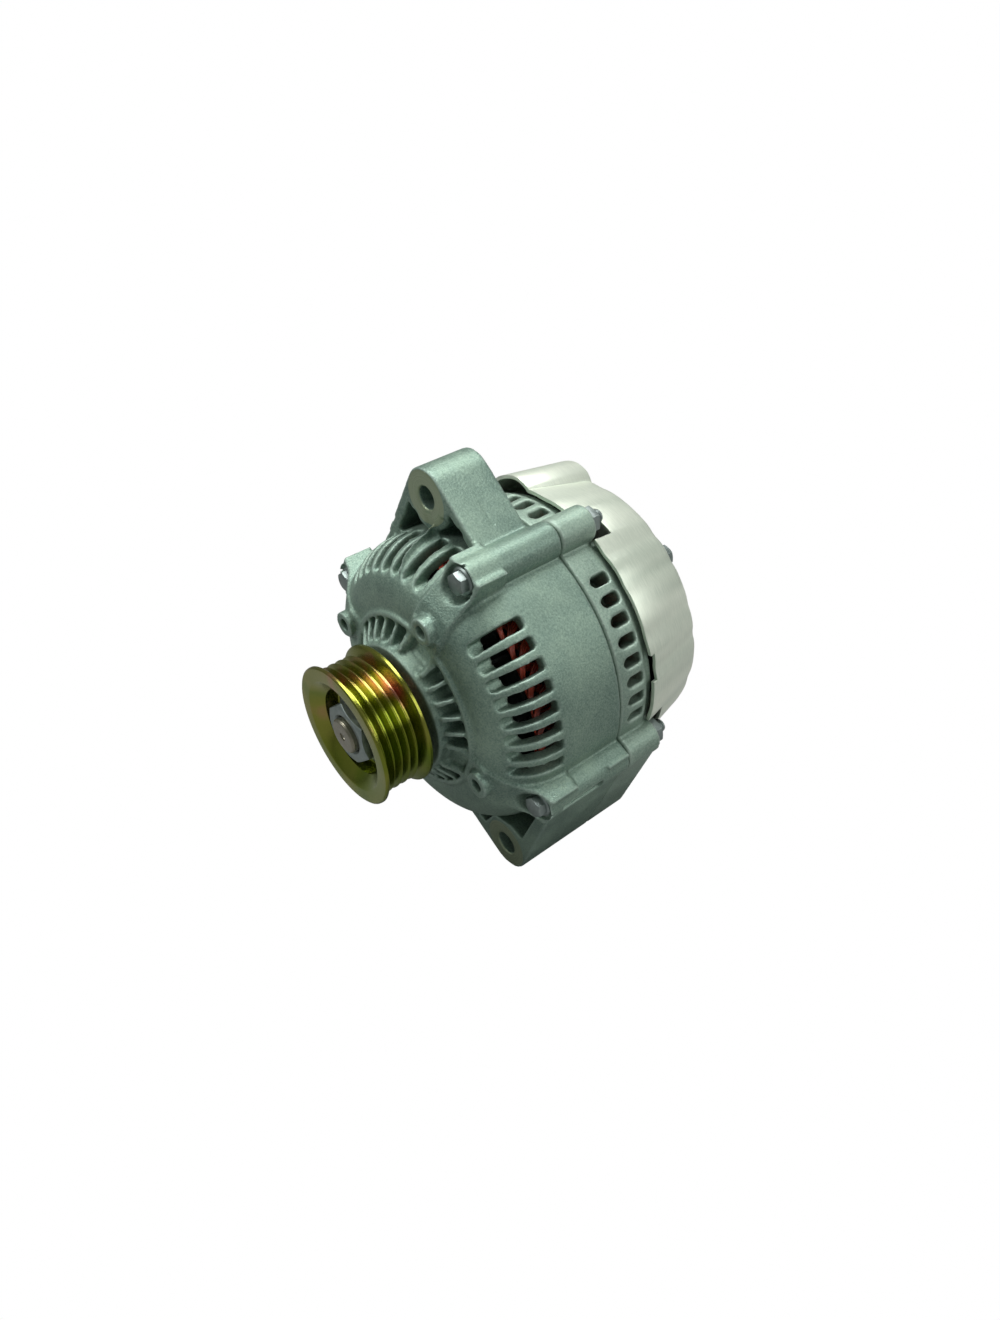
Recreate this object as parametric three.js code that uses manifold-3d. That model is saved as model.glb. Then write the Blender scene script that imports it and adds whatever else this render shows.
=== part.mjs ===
// Belt driven car alternator, as an assembly of separate pieces, in millimetres.
// The rotor shaft lies along Y with the pulley end at Y = 0 and the rear cover at the far end.
// +Z points to the threaded upper bracket lug.
import * as THREE from 'three';
import { mergeVertices } from 'three/addons/utils/BufferGeometryUtils.js';
import Module from 'manifold-3d';

const wasm = await Module();
wasm.setup();

// ---------- driving dimensions ----------
const FIT_GAP = 0.3;
const HOUSING_SEG = 30;
const RING_SEG = 30;
const MID_SEG = 18;
const SMALL_SEG = 12;
const CUT = 60;

const PULLEY = { r: 29.6, width: 21.9, crestR: 27.1, rootR: 24.5, pitch: 3.56, grooves: 5, flange: 1.95 };
const PULLEY_CUP = { mouthR: 23.6, floorR: 18.4, coneDepth: 4.0, depth: 10.5 };
const SHAFT = { r: 8.5, noseR: 7.4, rearR: 7.5, tailR: 4.5, noseY: 0, tailY: 131 };
const HUB = { r: 27.6, frontY: 26.0, lipR: 13.6, boreR: 23.8, boreY: 30.0, backY: 44.0 };
const VENT = {
  rIn: 29.0, rOut: 36.4, floorY: 36.6, backY: 41.0,
  perQuarter: 5, pitchDeg: 12.4, openDeg: 9.0,
};
const RIM = { rIn: 36.4, rOut: 39.0, frontY: 32.6 };
const BARREL = { r: 62.8, boreR: 58.3, shoulderY: 58.8, seamY: 88.2 };
const REAR = { frontY: 88.6, shoulderY: 97.0, backY: 104.0, wallY: 100.0, hubR: 21.4 };
const SLOT = {
  perQuarter: 8, pitchDeg: 7.85, width: 5.0, midDeg: 12.5,
  tipY: 37.5, endY: 58.6, floorR: 52.8,
};
const REAR_SLOT = { width: 4.6, tipY: 93.4, endY: 105.6, floorR: 56.6 };
const BOLT = {
  circleR: 65.0, shankR: 3.0, holeR: 3.4, bossR: 7.6,
  headAF: 10.0, headH: 5.0, seatY: 48.0, backY: 106.0,
};
const BOLT_DEG = [60.5, -29.5, -119.5, 150.5];
const EAR = { circleR: 45.4, r: 5.6, holeR: 2.7, frontY: 30.6, backY: 40.0 };
const LUG = { x: 0, z: 77.5, r: 12.0, holeR: 4.7, frontY: 58.0, backY: 82.0 };
const FOOT = { x: 22.3, z: -74.2, r: 12.0, holeR: 5.2, frontY: 50.0, backY: 110.0 };
const COVER = {
  frontY: 105.0, frontR: 64.6, backR: 58.2, cornerY: 133.5,
  backY: 139.5, faceR: 53.0, sheet: 1.2,
};
const CORE = { frontY: 64.0, backY: 90.6, rOut: 58.0, rIn: 47.0, slotR: 55.0, slots: 24, slotWidth: 5.0 };
const COIL_END = { rIn: 48.2, rOut: 56.6, frontY: 51.5, backY: 98.8 };
const ROTOR = {
  r: 46.4, frontY: 60.0, backY: 94.0, disc: 9.0,
  claws: 6, baseW: 15.0, tipW: 6.0, clawT: 7.5,
};
const FIELD = { rIn: 16.0, rOut: 36.0 };
const FAN = {
  plateR: 41.0, rearPlateIn: 22.4, sheet: 1.4,
  blades: 10, bladeT: 1.4, bladeReach: 14.0, bladeMidR: 37.0, sweepDeg: 28,
};
const SLIP = { rIn: 6.6, rOut: 7.6, width: 7.0, firstY: 110.0, secondY: 120.0 };

const CAST = { color: 0x8a9a90, roughness: 0.55, metalness: 0.75 };
const CAST_REAR = { color: 0x93a298, roughness: 0.55, metalness: 0.75 };
const STEEL = { color: 0x9a9fa2, roughness: 0.35, metalness: 1.0 };
const ZINC = { color: 0xb9bfc2, roughness: 0.3, metalness: 1.0 };
const GOLD_ZINC = { color: 0xa8a032, roughness: 0.3, metalness: 1.0 };
const TIN = { color: 0xd8d6c4, roughness: 0.35, metalness: 0.9 };
const COPPER = { color: 0x7a2a1c, roughness: 0.35, metalness: 0.6 };
const LAMINATE = { color: 0x4a4e50, roughness: 0.5, metalness: 0.9 };
const SINK = { color: 0x8f9496, roughness: 0.5, metalness: 0.9 };
const PLASTIC = { color: 0x1c1d1f, roughness: 0.6, metalness: 0.0 };
const CARBON = { color: 0x2b2a2a, roughness: 0.7, metalness: 0.2 };
const BRIGHT_COPPER = { color: 0xb87348, roughness: 0.3, metalness: 1.0 };

// ---------- solid building ----------
const alternator = new THREE.Group();
alternator.name = 'car_alternator';

const radians = (deg) => (deg * Math.PI) / 180;

// One closed solid from a three.js geometry, with its faces turned outwards.
function solidOf(geometry) {
  const bare = new THREE.BufferGeometry();
  bare.setAttribute('position', geometry.attributes.position.clone());
  bare.setIndex(geometry.index);
  const merged = mergeVertices(bare, 1e-4);
  const position = merged.attributes.position.array;
  const index = merged.index.array;
  const kept = [];
  let volume = 0;
  for (let i = 0; i < index.length; i += 3) {
    const [a, b, c] = [index[i], index[i + 1], index[i + 2]];
    if (a === b || b === c || c === a) continue;
    kept.push([a, b, c]);
    const pa = new THREE.Vector3().fromArray(position, a * 3);
    const pb = new THREE.Vector3().fromArray(position, b * 3);
    const pc = new THREE.Vector3().fromArray(position, c * 3);
    volume += pa.dot(pb.cross(pc));
  }
  const turned = volume < 0 ? kept.map(([a, b, c]) => [a, c, b]) : kept;
  return new wasm.Manifold(new wasm.Mesh({
    numProp: 3,
    vertProperties: new Float32Array(position),
    triVerts: new Uint32Array(turned.flat()),
  }));
}

function joined(solids) {
  return solids.reduce((sum, next) => sum.add(next));
}

function without(solid, cutters) {
  return cutters.reduce((rest, cutter) => rest.subtract(cutter), solid);
}

// A body of revolution about the shaft axis from [radius, y] points.
function turned(points, segments = RING_SEG) {
  const closed = points[0][0] > 0 ? [...points, points[0]] : points;
  const profile = closed.map(([r, y]) => new THREE.Vector2(r, y));
  return solidOf(new THREE.LatheGeometry(profile, segments));
}

function tube(rIn, rOut, y0, y1, segments = RING_SEG) {
  return turned([[rIn, y0], [rOut, y0], [rOut, y1], [rIn, y1]], segments);
}

function disc(r, y0, y1, segments = RING_SEG) {
  return turned([[0, y0], [r, y0], [r, y1], [0, y1]], segments);
}

// A round bar parallel to the shaft, centred at [x, z].
function bar(r, y0, y1, x, z, segments = SMALL_SEG) {
  const geometry = new THREE.CylinderGeometry(r, r, y1 - y0, segments);
  geometry.translate(x, (y0 + y1) / 2, z);
  return solidOf(geometry);
}

function block(x0, x1, y0, y1, z0, z1) {
  const geometry = new THREE.BoxGeometry(x1 - x0, y1 - y0, z1 - z0);
  geometry.translate((x0 + x1) / 2, (y0 + y1) / 2, (z0 + z1) / 2);
  return solidOf(geometry);
}

function outline(points) {
  return new THREE.Shape(points.map(([a, b]) => new THREE.Vector2(a, b)));
}

// An [x, z] outline run along the shaft direction.
function prism(shape, y0, y1) {
  const settings = { depth: y1 - y0, bevelEnabled: false, curveSegments: 8 };
  const geometry = new THREE.ExtrudeGeometry(shape, settings);
  geometry.rotateX(Math.PI / 2);
  geometry.translate(0, y1, 0);
  return solidOf(geometry);
}

// A [radius, y] outline made into a slab of the given width standing in the XY plane.
function slab(points, width) {
  const geometry = new THREE.ExtrudeGeometry(outline(points), { depth: width, bevelEnabled: false });
  geometry.translate(0, 0, -width / 2);
  return solidOf(geometry);
}

// A [y, across] outline run outwards along +X between two radii.
function radial(shape, r0, r1) {
  const settings = { depth: r1 - r0, bevelEnabled: false, curveSegments: 2 };
  const geometry = new THREE.ExtrudeGeometry(shape, settings);
  const turn = new THREE.Matrix4().makeBasis(
    new THREE.Vector3(0, 1, 0),
    new THREE.Vector3(0, 0, 1),
    new THREE.Vector3(1, 0, 0),
  );
  geometry.applyMatrix4(turn);
  geometry.translate(r0, 0, 0);
  return solidOf(geometry);
}

function geometryOf(solid) {
  const mesh = solid.getMesh();
  const geometry = new THREE.BufferGeometry();
  geometry.setAttribute('position', new THREE.BufferAttribute(new Float32Array(mesh.vertProperties), 3));
  geometry.setIndex(new THREE.BufferAttribute(new Uint32Array(mesh.triVerts), 1));
  return geometry;
}

// Turn a solid about the shaft axis, positive from +X towards +Z.
function at(solid, deg) {
  const geometry = geometryOf(solid);
  geometry.rotateY(-radians(deg));
  return solidOf(geometry);
}

function shifted(solid, x, y, z) {
  const geometry = geometryOf(solid);
  geometry.translate(x, y, z);
  return solidOf(geometry);
}

function polar(r, deg) {
  return [r * Math.cos(radians(deg)), r * Math.sin(radians(deg))];
}

function hexBar(acrossFlats, y0, y1, x, z) {
  return bar(acrossFlats / Math.sqrt(3), y0, y1, x, z, 6);
}

// A vent slot outline with one bevelled end towards small Y.
function slotOutline(y0, y1, width) {
  const half = width / 2;
  const bevel = half * 0.8;
  return outline([
    [y1, -half],
    [y1, half],
    [y0 + bevel, half],
    [y0, 0],
    [y0 + bevel, -half],
  ]);
}

// Put a finished solid into the assembly as one named piece.
function piece(name, solid, look) {
  const geometry = geometryOf(solid);
  geometry.computeVertexNormals();
  const body = new THREE.Mesh(geometry, new THREE.MeshStandardMaterial(look));
  body.name = name;
  alternator.add(body);
}

// ---------- lug outlines shared by the castings ----------
// A wedge shaped lug outline: round nose at the bolt hole, walls running down to two feet on the barrel.
function lugOutline(hole, radius, rightFoot, leftFoot, clockwise) {
  const shape = new THREE.Shape();
  const turn = clockwise ? -1 : 1;
  const tangent = (foot, side) => {
    const dx = foot[0] - hole[0];
    const dz = foot[1] - hole[1];
    const reach = Math.hypot(dx, dz);
    return Math.atan2(dz, dx) + side * Math.acos(radius / reach);
  };
  const rightAngle = tangent(rightFoot, turn);
  const leftAngle = tangent(leftFoot, -turn);
  shape.moveTo(rightFoot[0], rightFoot[1]);
  shape.lineTo(hole[0] + radius * Math.cos(rightAngle), hole[1] + radius * Math.sin(rightAngle));
  shape.absarc(hole[0], hole[1], radius, rightAngle, leftAngle, clockwise);
  shape.lineTo(leftFoot[0], leftFoot[1]);
  shape.lineTo(0, 0);
  return shape;
}

const LUG_RIGHT = [33.0, 57.0];
const LUG_LEFT = [-43.0, 46.0];
const FOOT_RIGHT = [60.5, -36.0];
const FOOT_LEFT = [-12.0, -60.0];

// ---------- drive end housing ----------
const frontOutside = turned([
  [0, HUB.frontY],
  [HUB.r, HUB.frontY],
  [HUB.r + 0.8, VENT.floorY],
  [RIM.rIn, VENT.floorY],
  [RIM.rIn, RIM.frontY],
  [RIM.rOut, RIM.frontY],
  [RIM.rOut, 34.2],
  [45.0, 34.6],
  [51.5, 36.8],
  [57.2, 41.4],
  [61.4, 49.0],
  [BARREL.r, BARREL.shoulderY],
  [BARREL.r, BARREL.seamY],
  [0, BARREL.seamY],
], HOUSING_SEG);

const frontInside = turned([
  [0, HUB.backY],
  [HUB.r + 4.0, HUB.backY],
  [HUB.r + 4.0, VENT.backY],
  [46.0, VENT.backY],
  [54.0, 46.0],
  [57.2, 53.0],
  [57.2, 63.4],
  [BARREL.boreR, 63.4],
  [BARREL.boreR, BARREL.seamY + 1],
  [0, BARREL.seamY + 1],
], HOUSING_SEG);

const padProfile = [
  [37.5, 33.2],
  [46.0, 33.4],
  [53.0, 36.4],
  [59.0, 40.8],
  [64.0, 44.6],
  [70.6, 46.6],
  [70.6, 60.0],
  [37.5, 60.0],
];

const spokeProfile = [
  [20.0, 28.6],
  [29.0, 31.0],
  [38.0, 34.4],
  [38.0, VENT.backY],
  [20.0, VENT.backY],
];

const webProfile = [
  [46.0, 41.0],
  [52.0, 42.0],
  [58.0, 47.5],
  [63.5, 54.0],
  [70.0, 58.6],
  [70.0, 80.0],
  [46.0, 80.0],
];

const frontExtras = [];
const frontCuts = [];
for (const deg of BOLT_DEG) {
  const [bx, bz] = polar(BOLT.circleR, deg);
  const [ex, ez] = polar(EAR.circleR, deg);
  frontExtras.push(at(slab(padProfile, 17.0), deg));
  frontExtras.push(at(slab(spokeProfile, 15.0), deg));
  frontExtras.push(bar(BOLT.bossR, 46.0, BARREL.seamY, bx, bz, MID_SEG));
  frontExtras.push(bar(EAR.r, EAR.frontY, EAR.backY, ex, ez, SMALL_SEG));
  frontCuts.push(bar(BOLT.holeR, 40.0, BARREL.seamY + 1, bx, bz, SMALL_SEG));
  frontCuts.push(bar(7.0, 30.0, BOLT.seatY, bx, bz, MID_SEG));
  frontCuts.push(bar(EAR.holeR, 20.0, 60.0, ex, ez, SMALL_SEG));
  frontCuts.push(at(slab([[28.6, 24.0], [28.6, 33.0], [35.4, 35.8], [35.4, 24.0]], 10.5), deg));
}

// The upper lug stands on the barrel with two pockets either side of a middle web.
const lugSolid = prism(lugOutline([LUG.x, LUG.z], LUG.r, LUG_RIGHT, LUG_LEFT, false), LUG.frontY, LUG.backY);
const lugRightPocket = prism(
  outline([[7.2, 64.5], [12.4, 67.0], [27.5, 57.6], [24.0, 50.0], [4.4, 50.0]]),
  40.0, 78.0,
);
const lugLeftPocket = prism(
  outline([[-7.0, 64.5], [-12.8, 68.0], [-36.6, 47.6], [-30.0, 42.0], [-2.6, 50.0]]),
  40.0, 78.0,
);
const lugWeb = solidOf((() => {
  const web = new THREE.ExtrudeGeometry(outline(webProfile), { depth: 5.0, bevelEnabled: false });
  web.translate(0, 0, -2.5);
  web.rotateY(-Math.PI / 2);
  return web;
})());

// The pivot foot is split between the two castings at the seam.
const footShape = lugOutline([FOOT.x, FOOT.z], FOOT.r, FOOT_RIGHT, FOOT_LEFT, true);
const footPocket = outline([
  [28.0, -61.4], [34.6, -64.8], [51.5, -40.0], [40.0, -36.0],
  [0.0, -50.0], [-6.5, -58.0], [8.5, -70.0], [17.0, -61.0],
]);
const barrelCore = disc(BARREL.r - 1.0, 20.0, 120.0);

const lugWithPockets = without(lugSolid, [lugRightPocket, lugLeftPocket]);
const footFront = without(prism(footShape, FOOT.frontY, BARREL.seamY), [
  without(prism(footPocket, FOOT.frontY - 1, 80.0), [barrelCore]),
]);

// Three quarters carry slots; the quarter over the pivot foot is solid.
const quarterSlots = [];
for (let quarter = 0; quarter < 3; quarter += 1) {
  for (let k = 0; k < SLOT.perQuarter; k += 1) {
    const offset = (k - (SLOT.perQuarter - 1) / 2) * SLOT.pitchDeg;
    quarterSlots.push(SLOT.midDeg + quarter * 90 + offset);
  }
}

for (const deg of quarterSlots) {
  frontCuts.push(at(radial(slotOutline(SLOT.tipY, SLOT.endY, SLOT.width), SLOT.floorR, CUT + 6), deg));
}

for (let quarter = 0; quarter < 4; quarter += 1) {
  for (let k = 0; k < VENT.perQuarter; k += 1) {
    const deg = 15.5 + quarter * 90 + (k - (VENT.perQuarter - 1) / 2) * VENT.pitchDeg;
    const half = radians(VENT.openDeg / 2);
    const wedge = outline([
      [VENT.rIn * Math.cos(half), -VENT.rIn * Math.sin(half)],
      [VENT.rOut * Math.cos(half), -VENT.rOut * Math.sin(half)],
      [VENT.rOut * Math.cos(half), VENT.rOut * Math.sin(half)],
      [VENT.rIn * Math.cos(half), VENT.rIn * Math.sin(half)],
    ]);
    frontCuts.push(at(prism(wedge, 30.0, CUT), deg));
  }
}

frontCuts.push(disc(HUB.lipR, 10.0, HUB.boreY + 1, MID_SEG));
frontCuts.push(disc(HUB.boreR, HUB.boreY, CUT, RING_SEG));
frontCuts.push(bar(LUG.holeR, 40.0, 100.0, LUG.x, LUG.z, SMALL_SEG));
frontCuts.push(bar(FOOT.holeR, 40.0, 100.0, FOOT.x, FOOT.z, SMALL_SEG));
const RETAINER_SCREW_R = 29.4;
for (const deg of BOLT_DEG) {
  const [x, z] = polar(RETAINER_SCREW_R, deg);
  frontCuts.push(bar(2.0, 38.0, CUT, x, z, 8));
}

const frontSolid = joined([frontOutside, ...frontExtras, lugWithPockets, lugWeb, footFront]);
piece('drive_end_housing', without(frontSolid, [frontInside, ...frontCuts]), CAST);

// ---------- rear housing ----------
const rearOutside = turned([
  [0, REAR.frontY],
  [BARREL.r, REAR.frontY],
  [BARREL.r, REAR.shoulderY],
  [60.4, 101.8],
  [55.0, REAR.backY],
  [REAR.hubR, REAR.backY],
  [REAR.hubR, 106.2],
  [0, 106.2],
], HOUSING_SEG);
const rearInside = turned([
  [0, REAR.frontY - 1],
  [BARREL.boreR, REAR.frontY - 1],
  [BARREL.boreR, 91.2],
  [57.4, 91.2],
  [57.4, 96.0],
  [54.0, REAR.wallY],
  [REAR.hubR, REAR.wallY],
  [REAR.hubR, 95.2],
  [0, 95.2],
], HOUSING_SEG);
const POST = { r: 4.6, circleR: 46.0, backY: 138.0, degs: [38.0, 172.0, -98.0], screwR: 2.3 };
const rearExtras = [];
const rearCuts = [];
for (const deg of BOLT_DEG) {
  const [bx, bz] = polar(BOLT.circleR, deg);
  rearExtras.push(bar(BOLT.bossR, REAR.frontY, BOLT.backY, bx, bz, MID_SEG));
  rearCuts.push(bar(BOLT.holeR, 80.0, 120.0, bx, bz, SMALL_SEG));
}
for (const deg of POST.degs) {
  const [x, z] = polar(POST.circleR, deg);
  rearExtras.push(bar(POST.r, REAR.wallY, POST.backY, x, z, SMALL_SEG));
  rearCuts.push(bar(POST.screwR + 0.3, 122.0, 140.0, x, z, 12));
}
for (const deg of quarterSlots) {
  const slot = slotOutline(REAR_SLOT.tipY, REAR_SLOT.endY, REAR_SLOT.width);
  rearCuts.push(at(radial(slot, REAR_SLOT.floorR, CUT + 6), deg));
}
const REAR_VENT = { rIn: 25.0, rOut: 39.0, spanDeg: 32.0, count: 8 };
for (let k = 0; k < REAR_VENT.count; k += 1) {
  const half = radians(REAR_VENT.spanDeg / 2);
  const window = outline([
    [REAR_VENT.rIn * Math.cos(half), -REAR_VENT.rIn * Math.sin(half)],
    [REAR_VENT.rOut * Math.cos(half), -REAR_VENT.rOut * Math.sin(half)],
    [REAR_VENT.rOut + 1.5, 0],
    [REAR_VENT.rOut * Math.cos(half), REAR_VENT.rOut * Math.sin(half)],
    [REAR_VENT.rIn * Math.cos(half), REAR_VENT.rIn * Math.sin(half)],
  ]);
  rearCuts.push(at(prism(window, 98.0, 105.0), 15.5 + (k * 360) / REAR_VENT.count));
}
rearCuts.push(disc(17.8, 90.0, 103.8, RING_SEG));
rearCuts.push(disc(12.4, 90.0, 120.0, MID_SEG));
rearCuts.push(bar(FOOT.holeR, 80.0, 120.0, FOOT.x, FOOT.z, SMALL_SEG));
const footRear = without(prism(footShape, REAR.frontY, FOOT.backY), [
  without(prism(footPocket, 96.0, FOOT.backY + 1), [disc(BARREL.r + 0.6, 80.0, 120.0)]),
  disc(COVER.frontR + 2.0, REAR.backY, 130.0),
  bar(9.4, BOLT.backY, 130.0, ...polar(BOLT.circleR, BOLT_DEG[1])),
]);
const rearSolid = joined([rearOutside, ...rearExtras, footRear]);
const rearHollow = rearInside.subtract(tube(17.8, REAR.hubR, 94.4, 101.0));
piece('rear_housing', without(rearSolid, [rearHollow, ...rearCuts]), CAST_REAR);

// ---------- stator ----------
const coreRing = tube(CORE.rIn, CORE.rOut, CORE.frontY, CORE.backY);
const coreSlots = [];
const windingBars = [];
for (let k = 0; k < CORE.slots; k += 1) {
  const deg = (k * 360) / CORE.slots;
  const half = CORE.slotWidth / 2;
  coreSlots.push(at(block(CORE.rIn - 2, CORE.slotR, CORE.frontY - 1, CORE.backY + 1, -half, half), deg));
  const inner = half - FIT_GAP;
  windingBars.push(at(block(COIL_END.rIn + 0.6, CORE.slotR - FIT_GAP, 60.0, 94.0, -inner, inner), deg));
}
piece('stator_core', without(coreRing, coreSlots), LAMINATE);
const turnsFront = turned([
  [COIL_END.rIn, 55.0],
  [50.0, COIL_END.frontY],
  [53.4, COIL_END.frontY],
  [COIL_END.rOut - 0.8, 55.4],
  [COIL_END.rOut - 0.4, CORE.frontY - FIT_GAP],
  [COIL_END.rIn, CORE.frontY - FIT_GAP],
], CORE.slots);
const turnsRear = turned([
  [COIL_END.rIn, CORE.backY + FIT_GAP],
  [COIL_END.rOut - 0.4, CORE.backY + FIT_GAP],
  [COIL_END.rOut - 1.4, 95.4],
  [52.6, COIL_END.backY],
  [49.6, COIL_END.backY],
  [COIL_END.rIn, 96.0],
], CORE.slots);
piece('stator_winding', joined([turnsFront, turnsRear, ...windingBars]), COPPER);

// ---------- rotor ----------
piece('rotor_shaft', turned([
  [0, SHAFT.noseY],
  [SHAFT.noseR - 0.8, SHAFT.noseY],
  [SHAFT.noseR, 0.9],
  [SHAFT.noseR, 10.0],
  [SHAFT.r, 11.0],
  [SHAFT.r, REAR.shoulderY - 2.8],
  [SHAFT.rearR, REAR.shoulderY - 2.6],
  [SHAFT.rearR, 106.0],
  [SHAFT.tailR, 106.4],
  [SHAFT.tailR, SHAFT.tailY],
  [0, SHAFT.tailY],
], MID_SEG), STEEL);

function clawPole(discY0, discY1, tipY, startDeg) {
  const toTip = Math.sign(tipY - discY0);
  const hub = tube(SHAFT.r + FIT_GAP, ROTOR.r - 8.5, discY0, discY1, RING_SEG);
  const rootY = toTip > 0 ? discY0 : discY1;
  const claw = radial(outline([
    [rootY, -ROTOR.baseW / 2],
    [tipY, -ROTOR.tipW / 2],
    [tipY, ROTOR.tipW / 2],
    [rootY, ROTOR.baseW / 2],
  ]), 30.0, 50.0);
  const rim = tube(ROTOR.r - ROTOR.clawT, ROTOR.r, ROTOR.frontY - 1, ROTOR.backY + 1, RING_SEG);
  const root = tube(28.0, ROTOR.r, discY0, discY1, RING_SEG);
  const fingers = [];
  for (let k = 0; k < ROTOR.claws; k += 1) {
    fingers.push(at(claw, startDeg + (k * 360) / ROTOR.claws));
  }
  const fingerSet = joined(fingers);
  return joined([hub, fingerSet.intersect(rim.add(root))]);
}
const FIELD_Y0 = ROTOR.frontY + ROTOR.disc;
const FIELD_Y1 = ROTOR.backY - ROTOR.disc;
const poleCore = tube(
  SHAFT.r + FIT_GAP, FIELD.rIn - FIT_GAP, ROTOR.frontY + 1, FIELD_Y1 - FIT_GAP, RING_SEG,
);
piece('front_claw_pole', clawPole(ROTOR.frontY, FIELD_Y0, 90.0, 0).add(poleCore), STEEL);
piece('rear_claw_pole', clawPole(FIELD_Y1, ROTOR.backY, 64.0, 30), STEEL);
piece('field_coil', tube(FIELD.rIn, FIELD.rOut, FIELD_Y0 + 0.4, FIELD_Y1 - 0.4, MID_SEG), COPPER);

// Radial cooling fan: a pressed ring with swept blades standing on one side.
function fan(plateY, bladeY, plateIn, startDeg) {
  const y0 = Math.min(plateY, bladeY);
  const y1 = Math.max(plateY + FAN.sheet, bladeY);
  const blades = [];
  for (let k = 0; k < FAN.blades; k += 1) {
    const geometry = new THREE.BoxGeometry(FAN.bladeReach, y1 - y0, FAN.bladeT);
    geometry.rotateY(radians(FAN.sweepDeg));
    geometry.translate(FAN.bladeMidR, (y0 + y1) / 2, 0);
    blades.push(at(solidOf(geometry), startDeg + (k * 360) / FAN.blades));
  }
  return joined([tube(plateIn, FAN.plateR, plateY, plateY + FAN.sheet), ...blades]);
}
piece('front_fan', fan(ROTOR.frontY - FIT_GAP - FAN.sheet, 50.5, SHAFT.r + FIT_GAP, 0), STEEL);
piece('rear_fan', fan(ROTOR.backY + FIT_GAP, 99.2, FAN.rearPlateIn, 12), STEEL);

// ---------- slip rings ----------
const FLANGE_R = SLIP.rOut + 0.6;
const SLEEVE_R = SLIP.rIn - FIT_GAP;
piece('slip_ring_insulator', turned([
  [SHAFT.tailR + FIT_GAP, 107.6],
  [FLANGE_R, 107.6],
  [FLANGE_R, 109.6],
  [SLEEVE_R, 109.6],
  [SLEEVE_R, 117.4],
  [FLANGE_R, 117.4],
  [FLANGE_R, 119.6],
  [SLEEVE_R, 119.6],
  [SLEEVE_R, 127.4],
  [FLANGE_R, 127.4],
  [FLANGE_R, 130.0],
  [SHAFT.tailR + FIT_GAP, 130.0],
], MID_SEG), PLASTIC);
const frontRing = tube(SLIP.rIn, SLIP.rOut, SLIP.firstY, SLIP.firstY + SLIP.width, MID_SEG);
piece('slip_ring_front', frontRing, BRIGHT_COPPER);
const rearRing = tube(SLIP.rIn, SLIP.rOut, SLIP.secondY, SLIP.secondY + SLIP.width, MID_SEG);
piece('slip_ring_rear', rearRing, BRIGHT_COPPER);

// ---------- bearings ----------
// Deep row ball bearing: outer ring held by a casting, inner ring on the shaft, balls in a cage between.
function bearing(name, size) {
  const { rIn, rOut, y0, y1, balls, innerR, outerR } = size;
  const mid = (y0 + y1) / 2;
  const pitchR = (innerR + outerR) / 2;
  const ballR = (outerR - innerR) / 2 - 0.3;
  piece(`${name}_outer_ring`, tube(outerR, rOut, y0, y1, MID_SEG), STEEL);
  piece(`${name}_inner_ring`, tube(rIn, innerR, y0, y1, MID_SEG), STEEL);
  const parts = [tube(pitchR - 0.7, pitchR + 0.7, mid - ballR * 0.6, mid + ballR * 0.6, MID_SEG)];
  for (let k = 0; k < balls; k += 1) {
    const ball = new THREE.SphereGeometry(ballR, 6, 4);
    ball.translate(pitchR, mid, 0);
    parts.push(at(solidOf(ball), (k * 360) / balls));
  }
  piece(`${name}_ball_cage`, joined(parts), STEEL);
}
bearing('front_bearing', {
  rIn: SHAFT.r + FIT_GAP, rOut: 23.5, y0: 30.3, y1: 43.7, balls: 7, innerR: 13.4, outerR: 19.6,
});
bearing('rear_bearing', {
  rIn: SHAFT.rearR + FIT_GAP, rOut: 17.5, y0: 94.7, y1: 103.5, balls: 7, innerR: 10.6, outerR: 14.8,
});

// The retainer plate holds the front bearing from the rotor side with four screws.
const plateHoles = BOLT_DEG.map((deg) => bar(2.1, 40.0, 50.0, ...polar(RETAINER_SCREW_R, deg), 8));
piece('bearing_retainer', without(tube(16.6, 31.8, 44.3, 46.1, MID_SEG), plateHoles), STEEL);
BOLT_DEG.forEach((deg, k) => {
  const [x, z] = polar(RETAINER_SCREW_R, deg);
  piece(`retainer_screw_${k + 1}`, joined([
    bar(1.6, 38.4, 47.0, x, z, 8),
    bar(3.4, 46.4, 48.6, x, z, 8),
  ]), ZINC);
});

// ---------- pulley group ----------
const pulleyProfile = [[SHAFT.r + FIT_GAP, PULLEY_CUP.depth], [PULLEY_CUP.floorR, PULLEY_CUP.depth]];
pulleyProfile.push([PULLEY_CUP.floorR, PULLEY_CUP.coneDepth], [PULLEY_CUP.mouthR, 0]);
pulleyProfile.push([PULLEY.r - 0.4, 0], [PULLEY.r, 0.5], [PULLEY.r, 1.4]);
const LAND = 0.5;
pulleyProfile.push([PULLEY.crestR + 0.6, PULLEY.flange]);
for (let k = 0; k < PULLEY.grooves; k += 1) {
  const rootY = PULLEY.flange + (k + 0.5) * PULLEY.pitch;
  const crestY = PULLEY.flange + (k + 1) * PULLEY.pitch;
  const isLast = k === PULLEY.grooves - 1;
  pulleyProfile.push([PULLEY.rootR, rootY - LAND / 2]);
  pulleyProfile.push([PULLEY.rootR, rootY + LAND / 2]);
  pulleyProfile.push([isLast ? PULLEY.crestR + 0.6 : PULLEY.crestR, crestY]);
}
pulleyProfile.push([PULLEY.r, 20.3], [PULLEY.r, PULLEY.width]);
pulleyProfile.push([16.0, PULLEY.width], [16.0, 23.4], [SHAFT.r + FIT_GAP, 23.4]);
piece('pulley', turned(pulleyProfile, 28), GOLD_ZINC);
piece('collar', tube(SHAFT.r + FIT_GAP, 13.0, 23.7, 30.0, MID_SEG), STEEL);
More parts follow.
